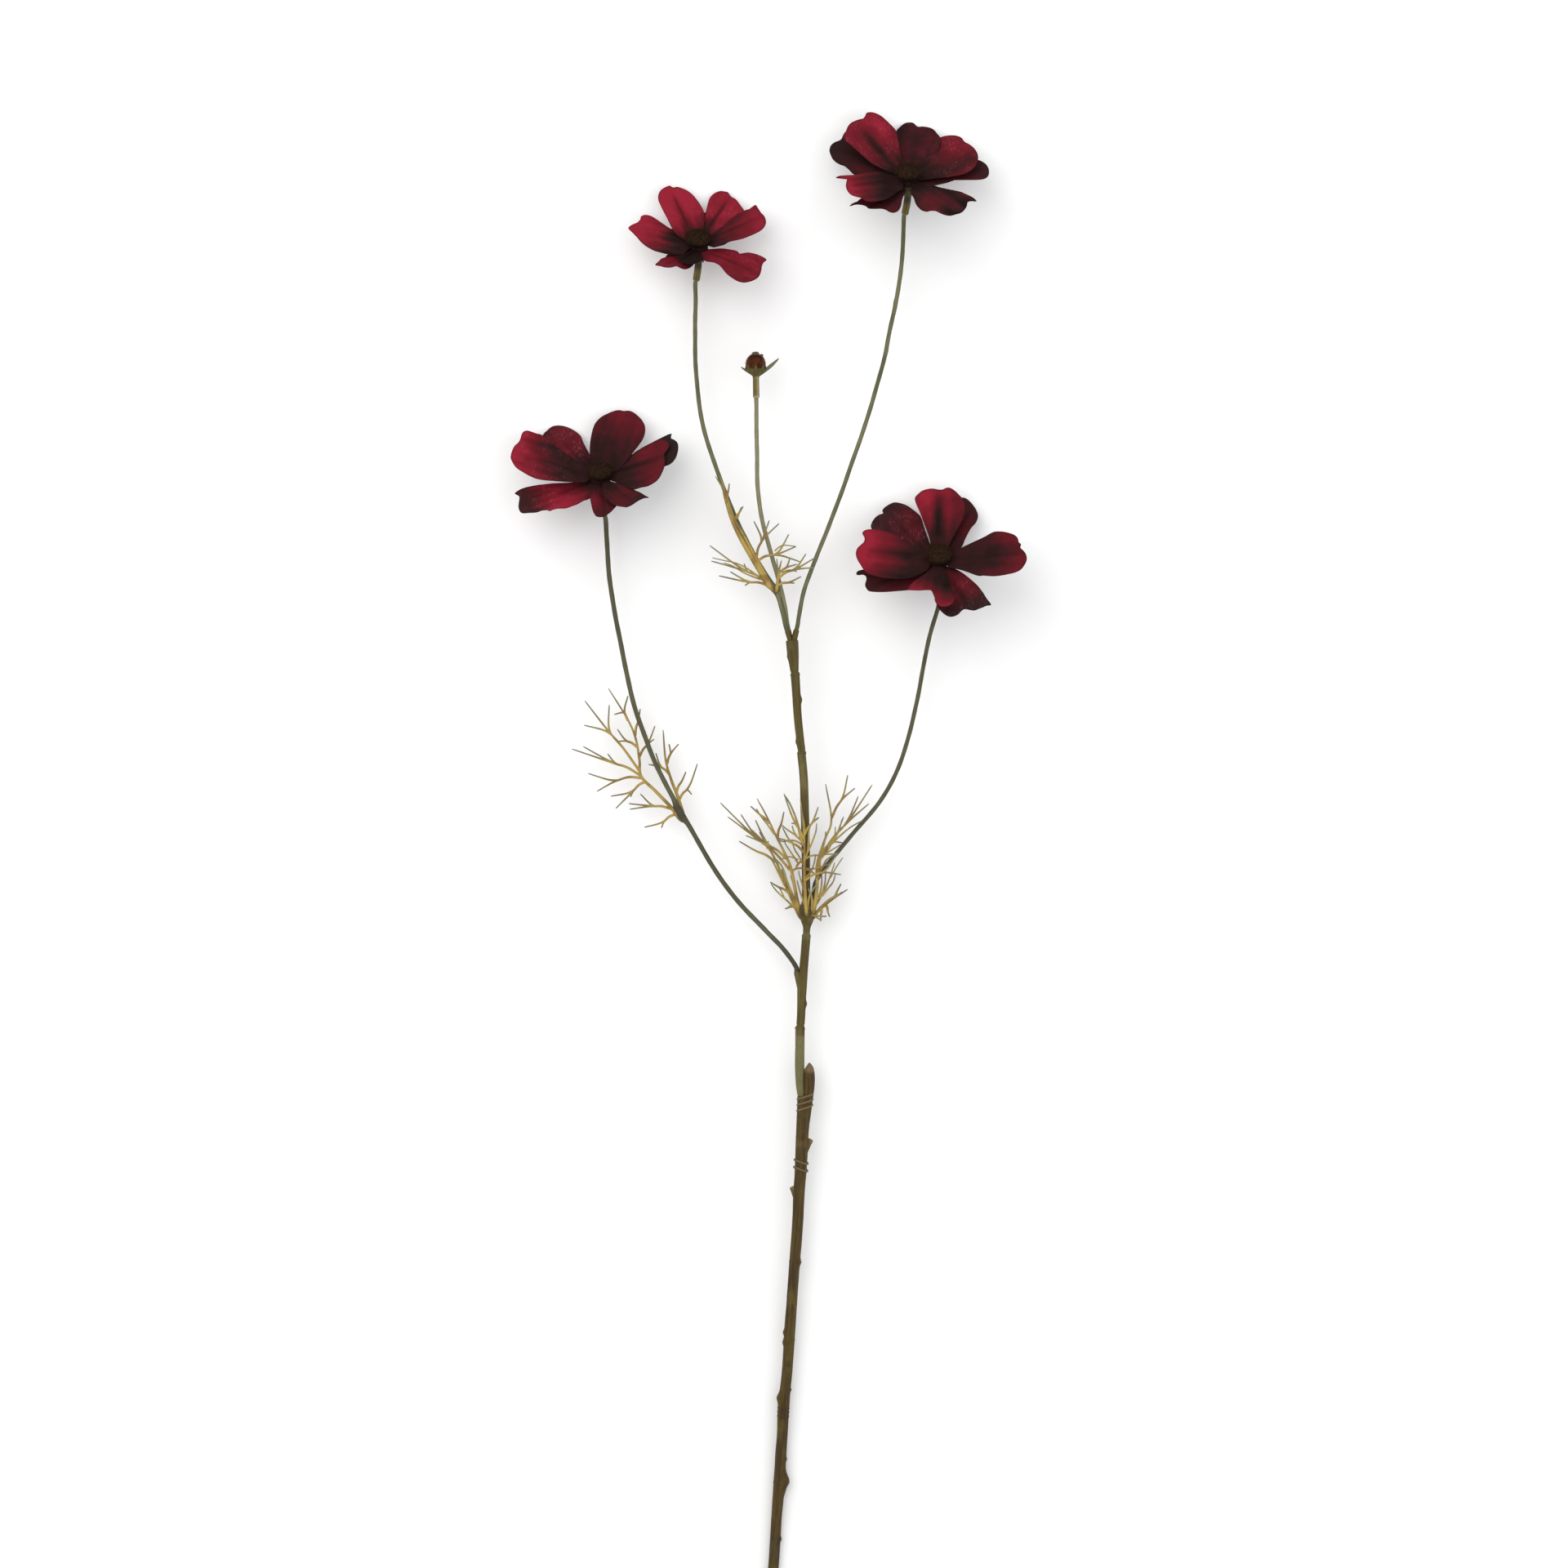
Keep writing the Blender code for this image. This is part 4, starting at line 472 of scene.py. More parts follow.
# Where each rib comes out of what carries it, and the loose needles between the twigs: plan
# positions with heights, then the radius at the start and at the tip.
LEAF_ROOTS = {
    "leaf_low_front": (841, 1008, 12.6), "leaf_low_back": (837.5, 1000, 12.2),
    "leaf_middle_left": (981, 1124, 12.8), "leaf_middle_left_low": (982, 1127, 12.4),
    "leaf_middle_front": (988.5, 1125, 15.2), "leaf_middle_right": (994, 1124, 14.8),
    "leaf_middle_right_low": (995, 1126, 12.8), "leaf_top_left": (949.5, 727, 18.4),
    "leaf_top_right": (950.5, 727, 18.5),
}
LOOSE_NEEDLES = {
    "leaf_middle_left": [
        ([(943, 1041, 16.6), (940, 1034, 17.0), (941, 1030, 17.2)], 0.4, 0.28),
        ([(938, 1033, 16.8), (934, 1026, 17.2), (930, 1019, 17.4)], 0.4, 0.28),
        ([(969, 1068, 15.6), (974, 1064, 16.6), (982, 1063, 17.3), (994, 1064, 17.5),
          (1006, 1061, 17.3), (1017, 1057, 17.0)], 0.5, 0.28),
        ([(984, 1064, 17.3), (993, 1067, 17.4), (999, 1071, 17.3), (1005, 1075, 17.1)], 0.42, 0.28),
        ([(974, 1063, 16.6), (979, 1056, 17.4), (986, 1052, 17.9), (993, 1048, 18.0),
          (1004, 1047, 17.8), (1014, 1046, 17.7), (1026, 1046, 17.4)], 0.52, 0.28),
        ([(1010, 1046, 17.7), (1018, 1041, 17.8), (1030, 1034, 17.8)], 0.4, 0.26),
        ([(977, 1057, 17.1), (972, 1049, 17.2), (966, 1040, 17.2), (962, 1034, 17.3),
          (961, 1029, 17.4)], 0.42, 0.26),
        ([(978, 1053, 17.4), (966, 1049, 17.2), (955, 1053, 17.0)], 0.35, 0.25),
        ([(951, 1027, 16.9), (957, 1030, 17.0), (962, 1031, 17.1)], 0.35, 0.25),
        ([(949, 1023, 17.0), (940, 1010, 17.3), (932, 1000, 17.5), (926, 990, 17.7)], 0.42, 0.26),
    ],
    "leaf_middle_left_low": [
        ([(975, 1108, 13.0), (968, 1092, 13.2), (961, 1075, 13.4), (957, 1064, 13.6)], 0.5, 0.28),
        ([(968, 1096, 12.6), (962, 1084, 13.3), (960, 1068, 13.6)], 0.4, 0.25),
        ([(962, 1086, 12.6), (953, 1068, 12.6), (945, 1053, 12.6), (938, 1047, 12.5)], 0.6, 0.3),
        ([(977, 1116, 12.6), (966, 1105, 12.6), (956, 1096, 12.4), (950, 1090, 12.3),
          (944, 1082, 12.2)], 0.5, 0.26),
        ([(961, 1101, 12.5), (957, 1092, 12.6), (953, 1085, 12.6)], 0.35, 0.25),
        ([(974, 1110, 12.6), (967, 1111, 12.7), (962, 1113, 12.6)], 0.4, 0.3),
        ([(978, 1118, 12.8), (972, 1100, 13.6), (964, 1080, 14.2), (958, 1062, 14.6),
          (948, 1050, 14.8)], 0.6, 0.35),
        ([(980, 1114, 13.2), (976, 1098, 14.2), (972, 1084, 14.8), (968, 1072, 15.0)], 0.5, 0.3),
    ],
    "leaf_middle_front": [
        ([(988, 1116, 16.6), (991, 1098, 17.6), (995, 1090, 17.4), (999, 1084, 17.2)], 0.6, 0.3),
        ([(987, 1098, 17.6), (983, 1085, 18.0), (979, 1072, 18.1), (978, 1066, 18.1)], 0.5, 0.28),
        ([(994, 1118, 15.4), (994, 1100, 17.0), (990, 1088, 17.6)], 0.65, 0.35),
        ([(985, 1054, 18.1), (989, 1042, 18.4), (990, 1030, 18.6), (991, 1015, 18.8),
          (996, 1006, 19.0), (1002, 1001, 19.1)], 0.5, 0.28),
        ([(989, 1044, 18.3), (995, 1030, 18.5), (999, 1018, 18.6), (1000, 1008, 18.7)], 0.42, 0.26),
        ([(985, 1038, 18.4), (980, 1024, 18.9), (977, 1010, 19.2), (972, 995, 19.5),
          (966, 982, 19.7), (960, 973, 19.9)], 0.65, 0.34),
        ([(985, 1036, 18.4), (975, 1030, 18.6), (968, 1029, 18.6), (960, 1030, 18.6)], 0.5, 0.3),
        ([(984, 1032, 18.5), (973, 1022, 18.7), (964, 1016, 18.8), (957, 1010, 18.9)], 0.5, 0.28),
        ([(976, 1024, 18.7), (972, 1018, 18.8), (970, 1011, 18.9)], 0.42, 0.26),
        ([(986, 1022, 18.7), (984, 1005, 19.0), (981, 990, 19.3)], 0.55, 0.3),
        ([(990, 1120, 16.0), (984, 1104, 17.0), (979, 1090, 17.3), (976, 1078, 17.4)], 0.55, 0.3),
        ([(996, 1119, 15.6), (1000, 1104, 16.2), (1001, 1092, 16.6), (999, 1080, 17.0)], 0.6, 0.3),
        ([(985, 1075, 18.0), (991, 1070, 18.3), (996, 1060, 18.4), (999, 1046, 18.4)], 0.5, 0.28),
        ([(984, 1060, 18.0), (978, 1048, 18.2), (973, 1040, 18.3), (970, 1030, 18.3)], 0.45, 0.28),
    ],
    "leaf_middle_right": [
        ([(1000, 1078, 15.9), (1002, 1066, 15.8), (1004, 1052, 15.7)], 0.9, 0.6),
        ([(1003, 1054, 15.6), (1007, 1040, 16.2), (1010, 1030, 16.5), (1011, 1018, 16.7)],
         0.45, 0.28),
        ([(1003, 1054, 15.6), (1012, 1043, 16.2), (1019, 1032, 16.4), (1022, 1024, 16.5),
          (1023, 1012, 16.7)], 0.45, 0.26),
        ([(1020, 1031, 16.4), (1027, 1018, 16.6), (1031, 1003, 16.8)], 0.36, 0.24),
        ([(1018, 1034, 16.3), (1028, 1024, 16.5), (1040, 1014, 16.7), (1050, 1008, 16.9),
          (1056, 1005, 17.0)], 0.45, 0.26),
        ([(998, 1110, 15.6), (1006, 1096, 15.4), (1010, 1082, 15.7), (1011, 1068, 15.9)],
         0.55, 0.28),
        ([(1006, 1098, 15.4), (1013, 1089, 15.7), (1020, 1080, 15.9), (1023, 1070, 16.0)],
         0.48, 0.26),
        ([(1009, 1092, 15.5), (1014, 1080, 16.0), (1019, 1066, 16.2), (1022, 1056, 16.3)],
         0.4, 0.25),
        ([(1016, 1076, 16.0), (1024, 1062, 16.3), (1032, 1050, 16.5)], 0.36, 0.24),
        ([(1002, 1070, 16.0), (1008, 1060, 16.8), (1013, 1052, 17.0), (1026, 1044, 17.2)],
         0.5, 0.3),
        ([(1003, 1100, 15.4), (1006, 1084, 15.8), (1006, 1070, 16.2)], 0.5, 0.3),
    ],
    "leaf_middle_right_low": [
        ([(1002, 1114, 12.5), (1016, 1101, 13.4), (1026, 1096, 13.8), (1031, 1092, 13.9)],
         0.6, 0.3),
        ([(989, 1121, 15.6), (998, 1121, 15.4), (1006, 1122, 14.6), (1012, 1122, 14.2)], 0.5, 0.35),
        ([(996, 1121, 15.2), (1001, 1124, 14.6), (1006, 1127, 14.2)], 0.42, 0.35),
    ],
    "leaf_top_left": [
        ([(944, 722, 19.3), (935, 706, 19.4), (920.5, 682, 19.2), (906.5, 658, 18.8),
          (897, 638, 18.4), (891, 620, 18.2), (885.5, 600, 18.0)], 1.45, 0.6),
        ([(902, 636, 18.9), (905, 628, 19.1), (908, 621, 19.3)], 0.6, 0.3),
        ([(890, 608, 18.5), (886, 595, 18.6), (881, 582, 18.7)], 0.45, 0.22),
        ([(943, 719, 19.4), (925, 703, 19.9), (905, 691, 20.1), (885, 686, 20.2),
          (872, 683, 20.3)], 0.42, 0.22),
        ([(932, 710, 19.7), (912, 702, 20.0), (897, 693, 20.2), (886, 689, 20.3)], 0.38, 0.22),
        ([(948, 675, 20.3), (958, 668, 20.4), (974, 669, 20.6)], 0.36, 0.22),
    ],
    "leaf_top_right": [
        ([(953, 706, 20.9), (952, 694, 21.5), (951, 684, 21.9)], 0.4, 0.24),
        ([(957, 701, 21.3), (967, 698, 21.8), (976, 700, 22.0)], 0.38, 0.24),
    ],
}
RIB_RADIUS = 0.8
TWIG_RADIUS = 0.6
FORK_RADIUS = 0.5
TIP_RADIUS = 0.28
TWIG_RISES = (0.6, 1.3, 1.9)
NEEDLE_SIDES = 8

# The thick lower stem: its middle line as (x, y, radius), its knots as (x, y, side, height,
# length), ridges round it as (y, height, length), and paler or deeper stretches as
# (y, y further up, amount). The tongue is the slanted cut top that overlaps the green stem;
# its pale stretch, given the same way, is a painted highlight on the cut.
LOWER_STEM = [
    (942.2, 1984, 2.35), (944.5, 1950, 2.35), (947.5, 1912, 2.35), (950.5, 1865, 2.4),
    (954, 1815, 2.5), (957.5, 1762, 2.4), (959.5, 1722, 2.6), (963.5, 1682, 2.35),
    (967, 1632, 2.4), (970.5, 1580, 2.4), (973.5, 1540, 2.45), (976.5, 1500, 2.45),
    (978.5, 1460, 2.5), (980.5, 1430, 2.7), (982, 1400, 2.85), (983.5, 1370, 2.95),
    (984.5, 1342, 2.95)]
LOWER_KNOTS = [
    (959.5, 1632, LEFT, 0.6, 1.3), (959.5, 1644, LEFT, 0.6, 1.3), (955, 1712, LEFT, 0.9, 2.0),
    (979, 1545, RIGHT, 0.6, 1.6), (968.5, 1701, RIGHT, 0.5, 0.8), (961, 1786, RIGHT, 0.4, 1.0),
    (958, 1813, RIGHT, 2.0, 3.4), (956, 1884, RIGHT, 0.5, 1.0), (970, 1600, ON_TOP, 0.35, 3.0),
    (950, 1850, ON_TOP, 0.3, 3.0)]
LOWER_RIDGES = [(1724, 0.22, 0.35), (1729, 0.22, 0.35), (1734, 0.22, 0.35), (1640, 0.15, 0.5),
                (1545, 0.12, 0.4), (1815, 0.12, 0.5)]
LOWER_TONES = [(1404, 1396, 0.2), (1738, 1722, -0.3), (1772, 1752, -0.3), (1915, 1880, -0.4)]
TONGUE = [(985.5, 1374, 2.2), (988.3, 1347, 2.5), (989.8, 1330, 2.75), (990.2, 1317, 2.75),
          (991.2, 1308, 1.9), (991, 1301.5, 0.4)]
TONGUE_HIGHLIGHT = [(1312, 1301, 0.8)]

# Cut side shoots as start, end and size, with their radii at shares of the length, and the two
# ties as y, y further down, turns, radius, thickness and lean, with the (y, x) of the middle
# that they are wound round.
SIDE_SHOOTS = [((984, 1412), (993, 1395), 1.2), ((977, 1470), (970, 1453), 1.3),
               ((956, 1832), (962.5, 1816), 1.1)]
SHOOT_RADII = [(0, 1.35), (0.7, 1.0), (0.93, 1.06), (1, 0.8)]
SHOOT_RINGS = 24
TIES = [(1339, 1360, 3, 3.35, 0.48, 0.2), (1418, 1436, 2, 2.95, 0.44, -0.6)]
TIED_MIDDLE = [(1339, 986), (1360, 985.2), (1400, 982), (1430, 980.5), (1460, 978.5)]
TIE_SIDES = 8
RINGS_PER_TURN = 40

# The thinner upper stem, given as the lower one is.
UPPER_STEM = [
    (983, 1353, 1.5), (981.5, 1341, 1.8), (979.8, 1325, 2.0), (979.3, 1300, 2.05),
    (979.6, 1262, 2.1), (980, 1257, 1.9), (981.2, 1238, 1.9), (982.2, 1208, 2.1),
    (984.5, 1180, 1.9), (987.3, 1148, 1.85), (987.6, 1143, 1.5), (988, 1135, 1.7),
    (988.2, 1128, 2.7), (988.2, 1119, 3.4), (988, 1111, 3.3), (987.6, 1104, 2.2),
    (987.2, 1094, 1.9), (986.5, 1040, 1.85), (984.5, 960, 1.85), (981.7, 926, 1.9),
    (981.5, 918, 1.8), (977, 880, 1.8), (974, 830, 1.9), (973, 822, 1.8), (971.2, 803, 2.5),
    (969.8, 784, 2.8)]
UPPER_KNOTS = [(986, 1229, RIGHT, 0.6, 1.5), (975.2, 908, LEFT, 0.5, 1.4),
               (980, 857, RIGHT, 0.6, 1.5), (966, 804, LEFT, 0.3, 1.4)]
UPPER_RIDGES = [(922, 0.25, 0.45), (826, 0.25, 0.45), (1259, 0.25, 0.5), (1146, 0.15, 0.4),
                (1255, -0.2, 0.4), (919, -0.15, 0.4), (822.5, -0.15, 0.4)]
UPPER_TONES = [(1350, 1268, 0.75), (1150, 1142, 0.4), (1122, 1112, -0.5)]

# The bud: the foot of its sleeve and the middle of its cup on the plan, with heights, profiles
# and bends in mm on its axis, and tables of radius or tone at shares of a length. A bract is
# its start, corner and tip on the plan and its size; a knot is its place across and along the
# axis and its size.
BUD_FOOT = (926, 487, 17.0)
BUD_CUP = (925.5, 457, 18.0)
BUD_CUP_PROFILE = [(0, 0.6), (2.9, 1.2), (3.6, 2.3), (3.85, 2.2), (3.65, 1.3), (3.1, 0.4),
                   (2.3, -0.4), (1.6, -1.1), (1.35, -1.7), (0, -1.7)]
BUD_SLEEVE_RADII = [(0, 1.3), (0.04, 1.55), (0.14, 1.42), (0.85, 1.38), (1, 1.6)]
BUD_SLEEVE_RINGS = 30
BUD_SLEEVE_SIDES = 36
BUD_SEPAL_BEND = [(3.2, 0.9), (4.4, 2.4), (4.0, 4.3)]
BUD_BRACTS = [(((928.5, 460, 18.0), (939, 453, 18.8), (954, 438.6, 19.5)), 0.82),
              (((922.5, 460, 18.0), (916, 455, 18.7), (907, 449.3, 19.2)), 0.55)]
BRACT_RADII = [(0, 0.7), (0.3, 0.8), (0.65, 1.0), (0.9, 0.55), (1, 0.12)]
BRACT_TONES = [(0, -0.2), (0.85, 0.1), (1, -0.9)]
BRACT_RINGS = 24
BUD_HEAD_RADIUS = 4.05
BUD_HEAD_PROFILE = [(0, 8.3), (1.0, 8.2), (2.0, 7.7), (3.0, 6.9), (3.7, 5.8),
                    (BUD_HEAD_RADIUS, 4.6), (3.95, 3.3), (3.5, 2.3), (2.6, 1.6), (0, 1.5)]
BUD_KNOTS = [(0.4, 8.4, 1.4), (-0.6, 8.5, 1.1), (2.6, 7.6, 0.9)]
KNOT_PROFILE = np.array([(0, 0.7), (0.45, 0.6), (0.75, 0.25), (0.75, -0.1), (0.45, -0.6),
                         (0, -0.7)])
KNOT_HAIRY_PAIRS = 4

# The finish and the studio: how far bumps show, the floor, the lights as place, size, power and
# colour, and the white surroundings.
BUMP_STRENGTH = 0.6
FLOOR_HALF_WIDTH = 3.0
FLOOR_DROP = 0.02 * MM
LIT_PLACE = (0.0, 0.33, 0.0)
LIGHTS = [("key_light", (-0.9, 1.1, 1.9), 2.0, 22, (1.0, 0.99, 0.97)),
          ("fill_light", (1.2, 0.0, 1.7), 2.2, 12, (0.97, 0.98, 1.0))]
SURROUND_STRENGTH = 0.78


def unit(vectors):
    """Directions divided by their own length."""
    return vectors / np.linalg.norm(vectors, axis=-1, keepdims=True)


def plan(places):
    """Drawing places (x, y, height in mm) in metres.

    Seen from EYE, a unit of the drawing is worth UNIT at DRAWN_HEIGHT and less at a higher
    place: UNIT (eye height - height) / (eye height - DRAWN_HEIGHT).
    """
    places = np.asarray(places, float)
    height = places[..., 2] * MM
    spread = (EYE[2] - height) / (EYE[2] - DRAWN_HEIGHT) * UNIT
    return np.stack([EYE[0] + (places[..., 0] - MIDDLE) * spread,
                     EYE[1] - (places[..., 1] - MIDDLE) * spread, height], -1)


def stem_height(y):
    """Height in mm of the main stem's middle line at y: level, then an even rise to the fork."""
    share = (LEVEL_UNTIL_Y - np.asarray(y, float)) / (LEVEL_UNTIL_Y - FORK_Y)
    return STEM_END_HEIGHT + (FORK_HEIGHT - STEM_END_HEIGHT) * np.maximum(share, 0.0)


def on_stem(x, y, above=0.0):
    """Drawing places at the height of the main stem's middle line, or above it, in metres."""
    return plan(np.stack(np.broadcast_arrays(x, y, stem_height(y) + above), -1))


def smooth_line(points, count):
    """Evenly spaced points on the smooth curve through the given ones.

    Between two points it is a cubic whose end slopes are half the chord across their
    neighbours. Further columns, such as a radius, are carried along with the places.
    """
    points = np.asarray(points, float)
    ends = np.concatenate([[2 * points[0] - points[1]], points, [2 * points[-1] - points[-2]]])
    at = np.linspace(0, len(points) - 1, 16 * len(points))
    span = np.minimum(at.astype(int), len(points) - 2)
    t = (at - span)[:, None]
    before, start, end, after = (ends[span + i] for i in range(4))
    dense = 0.5 * (2 * start + (end - before) * t
                   + (2 * before - 5 * start + 4 * end - after) * t ** 2
                   + (3 * start - before - 3 * end + after) * t ** 3)
    steps = np.linalg.norm(np.diff(dense[:, :3], axis=0), axis=1)
    walked = np.concatenate([[0.0], np.cumsum(steps)])
    even = np.linspace(0, walked[-1], count)
    return np.stack([np.interp(even, walked, column) for column in dense.T], -1)


def smoothstep(low, high, value):
    """0 below low, 1 above high, and 3 t^2 - 2 t^3 at a share t of the way between them."""
    t = np.clip((value - low) / (high - low), 0, 1)
    return t * t * (3 - 2 * t)


def read_off(table, at):
    """Values at places, read off straight lines between (place, value) pairs."""
    places, values = np.array(table, float).T
    return np.interp(at, places, values)


class Shape:
    """Points with four-sided and three-sided faces, and marks: values at each point."""

    def __init__(self, points, quads, triangles, **marks):
        self.points = points.reshape(-1, 3)
        self.quads = quads.reshape(-1, 4)
        self.triangles = triangles.reshape(-1, 3)
        self.marks = marks


def joined(shapes):
    """Several shapes as one, with the marks of the first, which all of them have."""
    firsts = np.concatenate([[0], np.cumsum([len(shape.points) for shape in shapes])])
    quads = np.concatenate([shape.quads + first for shape, first in zip(shapes, firsts)])
    triangles = np.concatenate([shape.triangles + first for shape, first in zip(shapes, firsts)])
    marks = {name: np.concatenate([shape.marks[name] for shape in shapes])
             for name in shapes[0].marks}
    return Shape(np.concatenate([shape.points for shape in shapes]), quads, triangles, **marks)


def rings_shape(rings, first_pole, last_pole, **marks):
    """Rings of points closed into a skin, with a point at each end.

    rings is (pieces, rings, sides, 3) and each pole is (pieces, 3). Marks are given for the
    rings as (pieces, rings, sides) or with a last axis of 3; a pole takes its ring's mean.
    """
    pieces, count, sides, _ = rings.shape
    points = np.concatenate([rings.reshape(pieces, -1, 3), first_pole[:, None],
                             last_pole[:, None]], 1)
    size = count * sides + 2
    ring = np.arange(count - 1)[:, None] * sides
    side = np.arange(sides)
    after = (side + 1) % sides
    quads = np.stack([ring + side, ring + sides + side, ring + sides + after, ring + after], -1)
    last = (count - 1) * sides
    start = np.stack([np.full(sides, size - 2), side, after], -1)
    end = np.stack([np.full(sides, size - 1), last + after, last + side], -1)
    shift = np.arange(pieces)[:, None, None] * size
    values = {}
    for name, mark in marks.items():
        tail = mark.shape[3:]
        flat = mark.reshape(pieces, count * sides, *tail)
        ends = [mark[:, 0].mean(1)[:, None], mark[:, -1].mean(1)[:, None]]
        values[name] = np.concatenate([flat] + ends, 1).reshape(-1, *tail)
    return Shape(points, quads.reshape(-1, 4) + shift,
                 np.concatenate([start, end]) + shift, **values)


def tubes(paths, radii, sides, flat=1.0, relief=0.0, **marks):
    """Round skins carried along paths, each ring square to its path.

    A ring point is centre + radius * (cos(angle) * sideways + flat * sin(angle) * over), where
    sideways is level and over points up. paths is (pieces, rings, 3), radii (pieces, rings),
    and relief is added to the radius at (pieces, rings, sides). The grain mark runs along the
    path in mm and round the skin.
    """
    ways = unit(np.gradient(paths, axis=1))
    sideways = unit(np.cross(ways, [0.0, 0.0, 1.0]))
    over = np.cross(sideways, ways)
    angle = np.arange(sides) * TURN / sides
    reach = radii[..., None] + relief + 0 * angle
    across = (reach * np.cos(angle))[..., None] * sideways[:, :, None]
    upward = (flat * reach * np.sin(angle))[..., None] * over[:, :, None]
    rings = paths[:, :, None] + across + upward
    steps = np.linalg.norm(np.diff(paths, axis=1), axis=2)
    walked = np.concatenate([np.zeros((len(paths), 1)), np.cumsum(steps, 1)], 1)
    number = np.arange(len(paths))[:, None, None] * 0.37
    grain = np.stack([reach * np.cos(angle) / MM + number, reach * np.sin(angle) / MM + number,
                      walked[..., None] / MM + 0 * reach + number], -1)
    wide = {name: np.broadcast_to(mark[..., None] if np.ndim(mark) == 2 else mark, reach.shape)
            for name, mark in marks.items()}
    return rings_shape(rings, paths[:, 0], paths[:, -1], grain=grain, **wide)


def turned(profile, centre, axis, sides, relief=None, **marks):
    """A turned skin: (radius, height) pairs in mm carried round an axis, closed at its poles.

    The first pair is the upper pole and the last the lower one. relief(angle, share) is added
    to each radius in mm, where share runs from 0 at the upper pole to 1 at the lower one.
    """
    profile = np.asarray(profile, float)
    across = unit(np.cross(axis, [0.0, 0.0, 1.0] if abs(axis[2]) < 0.9 else [1.0, 0.0, 0.0]))
    other = np.cross(axis, across)
    angle = np.arange(sides) * TURN / sides
    share = np.linspace(0, 1, len(profile))[1:-1, None]
    radius = profile[1:-1, :1] + (relief(angle, share) if relief else 0 * angle)
    height = profile[1:-1, 1:] + 0 * angle
    rings = centre + MM * (radius[..., None] * (np.cos(angle)[:, None] * across
                                                + np.sin(angle)[:, None] * other)
                           + height[..., None] * axis)
    poles = [(centre + MM * profile[i, 1] * axis)[None] for i in (0, -1)]
    grain = np.stack([radius * np.cos(angle), radius * np.sin(angle), height], -1)
    wide = {name: np.full((1,) + radius.shape, float(mark)) for name, mark in marks.items()}
    return rings_shape(rings[None], *poles, grain=grain[None], **wide)


def sheet(middle, thickness, **marks):
    """A thin closed blade round a middle surface given on a grid, its edges thinned.

    Each side lies half the thickness off the middle along the surface's own normal, which is
    the cross product of its two slopes. A band of faces joins the sides round the margin.
    """
    rows, columns, _ = middle.shape
    normal = unit(np.cross(np.gradient(middle, axis=0), np.gradient(middle, axis=1)))
    offset = normal * thickness[..., None] / 2
    points = np.concatenate([(middle + offset).reshape(-1, 3), (middle - offset).reshape(-1, 3)])
    corner = np.arange(rows - 1)[:, None] * columns + np.arange(columns - 1)
    top = np.stack([corner, corner + columns, corner + columns + 1, corner + 1], -1).reshape(-1, 4)
    under = top[:, ::-1] + rows * columns
    index = np.arange(rows * columns).reshape(rows, columns)
    loop = np.concatenate([index[:-1, 0], index[-1, :-1], index[:0:-1, -1], index[0, :0:-1]])
    after = np.roll(loop, -1)
    rim = np.stack([loop + rows * columns, after + rows * columns, after, loop], -1)
    values = {name: np.concatenate([mark.reshape(rows * columns, *mark.shape[2:])] * 2)
              for name, mark in marks.items()}
    return Shape(points, np.concatenate([top, under, rim]), np.zeros((0, 3), int), **values)


def make_piece(name, shape, material, slot, *nodes):
    """A shape as an object that rides on the spray and stands for its CAD nodes."""
    mesh = bpy.data.meshes.new(name)
    mesh.from_pydata(shape.points.tolist(), [], shape.quads.tolist() + shape.triangles.tolist())
    for mark, values in shape.marks.items():
        kind, field = ("FLOAT_VECTOR", "vector") if values.ndim == 2 else ("FLOAT", "value")
        attribute = mesh.attributes.new(mark, kind, "POINT")
        attribute.data.foreach_set(field, values.astype(np.float32).ravel())
    mesh.shade_smooth()
    mesh.materials.append(material)
    piece = bpy.data.objects.new(name, mesh)
    bpy.context.scene.collection.objects.link(piece)
    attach(piece, "root")
    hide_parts(*nodes)


def bloom_axes(tilt):
    """Right, outward and facing directions of a bloom that faces up and away."""
    lean = np.radians(tilt)
    facing = np.array([0.0, np.sin(lean), np.cos(lean)])
    right = np.array([1.0, 0.0, 0.0])
    return right, np.cross(facing, right), facing


def rounded(outline, count):
    """An outline as evenly spaced points on the smooth curve through it."""
    flat = np.array(outline, float)
    return smooth_line(np.concatenate([flat, 0 * flat[:, :1]], 1), count)[:, :2]


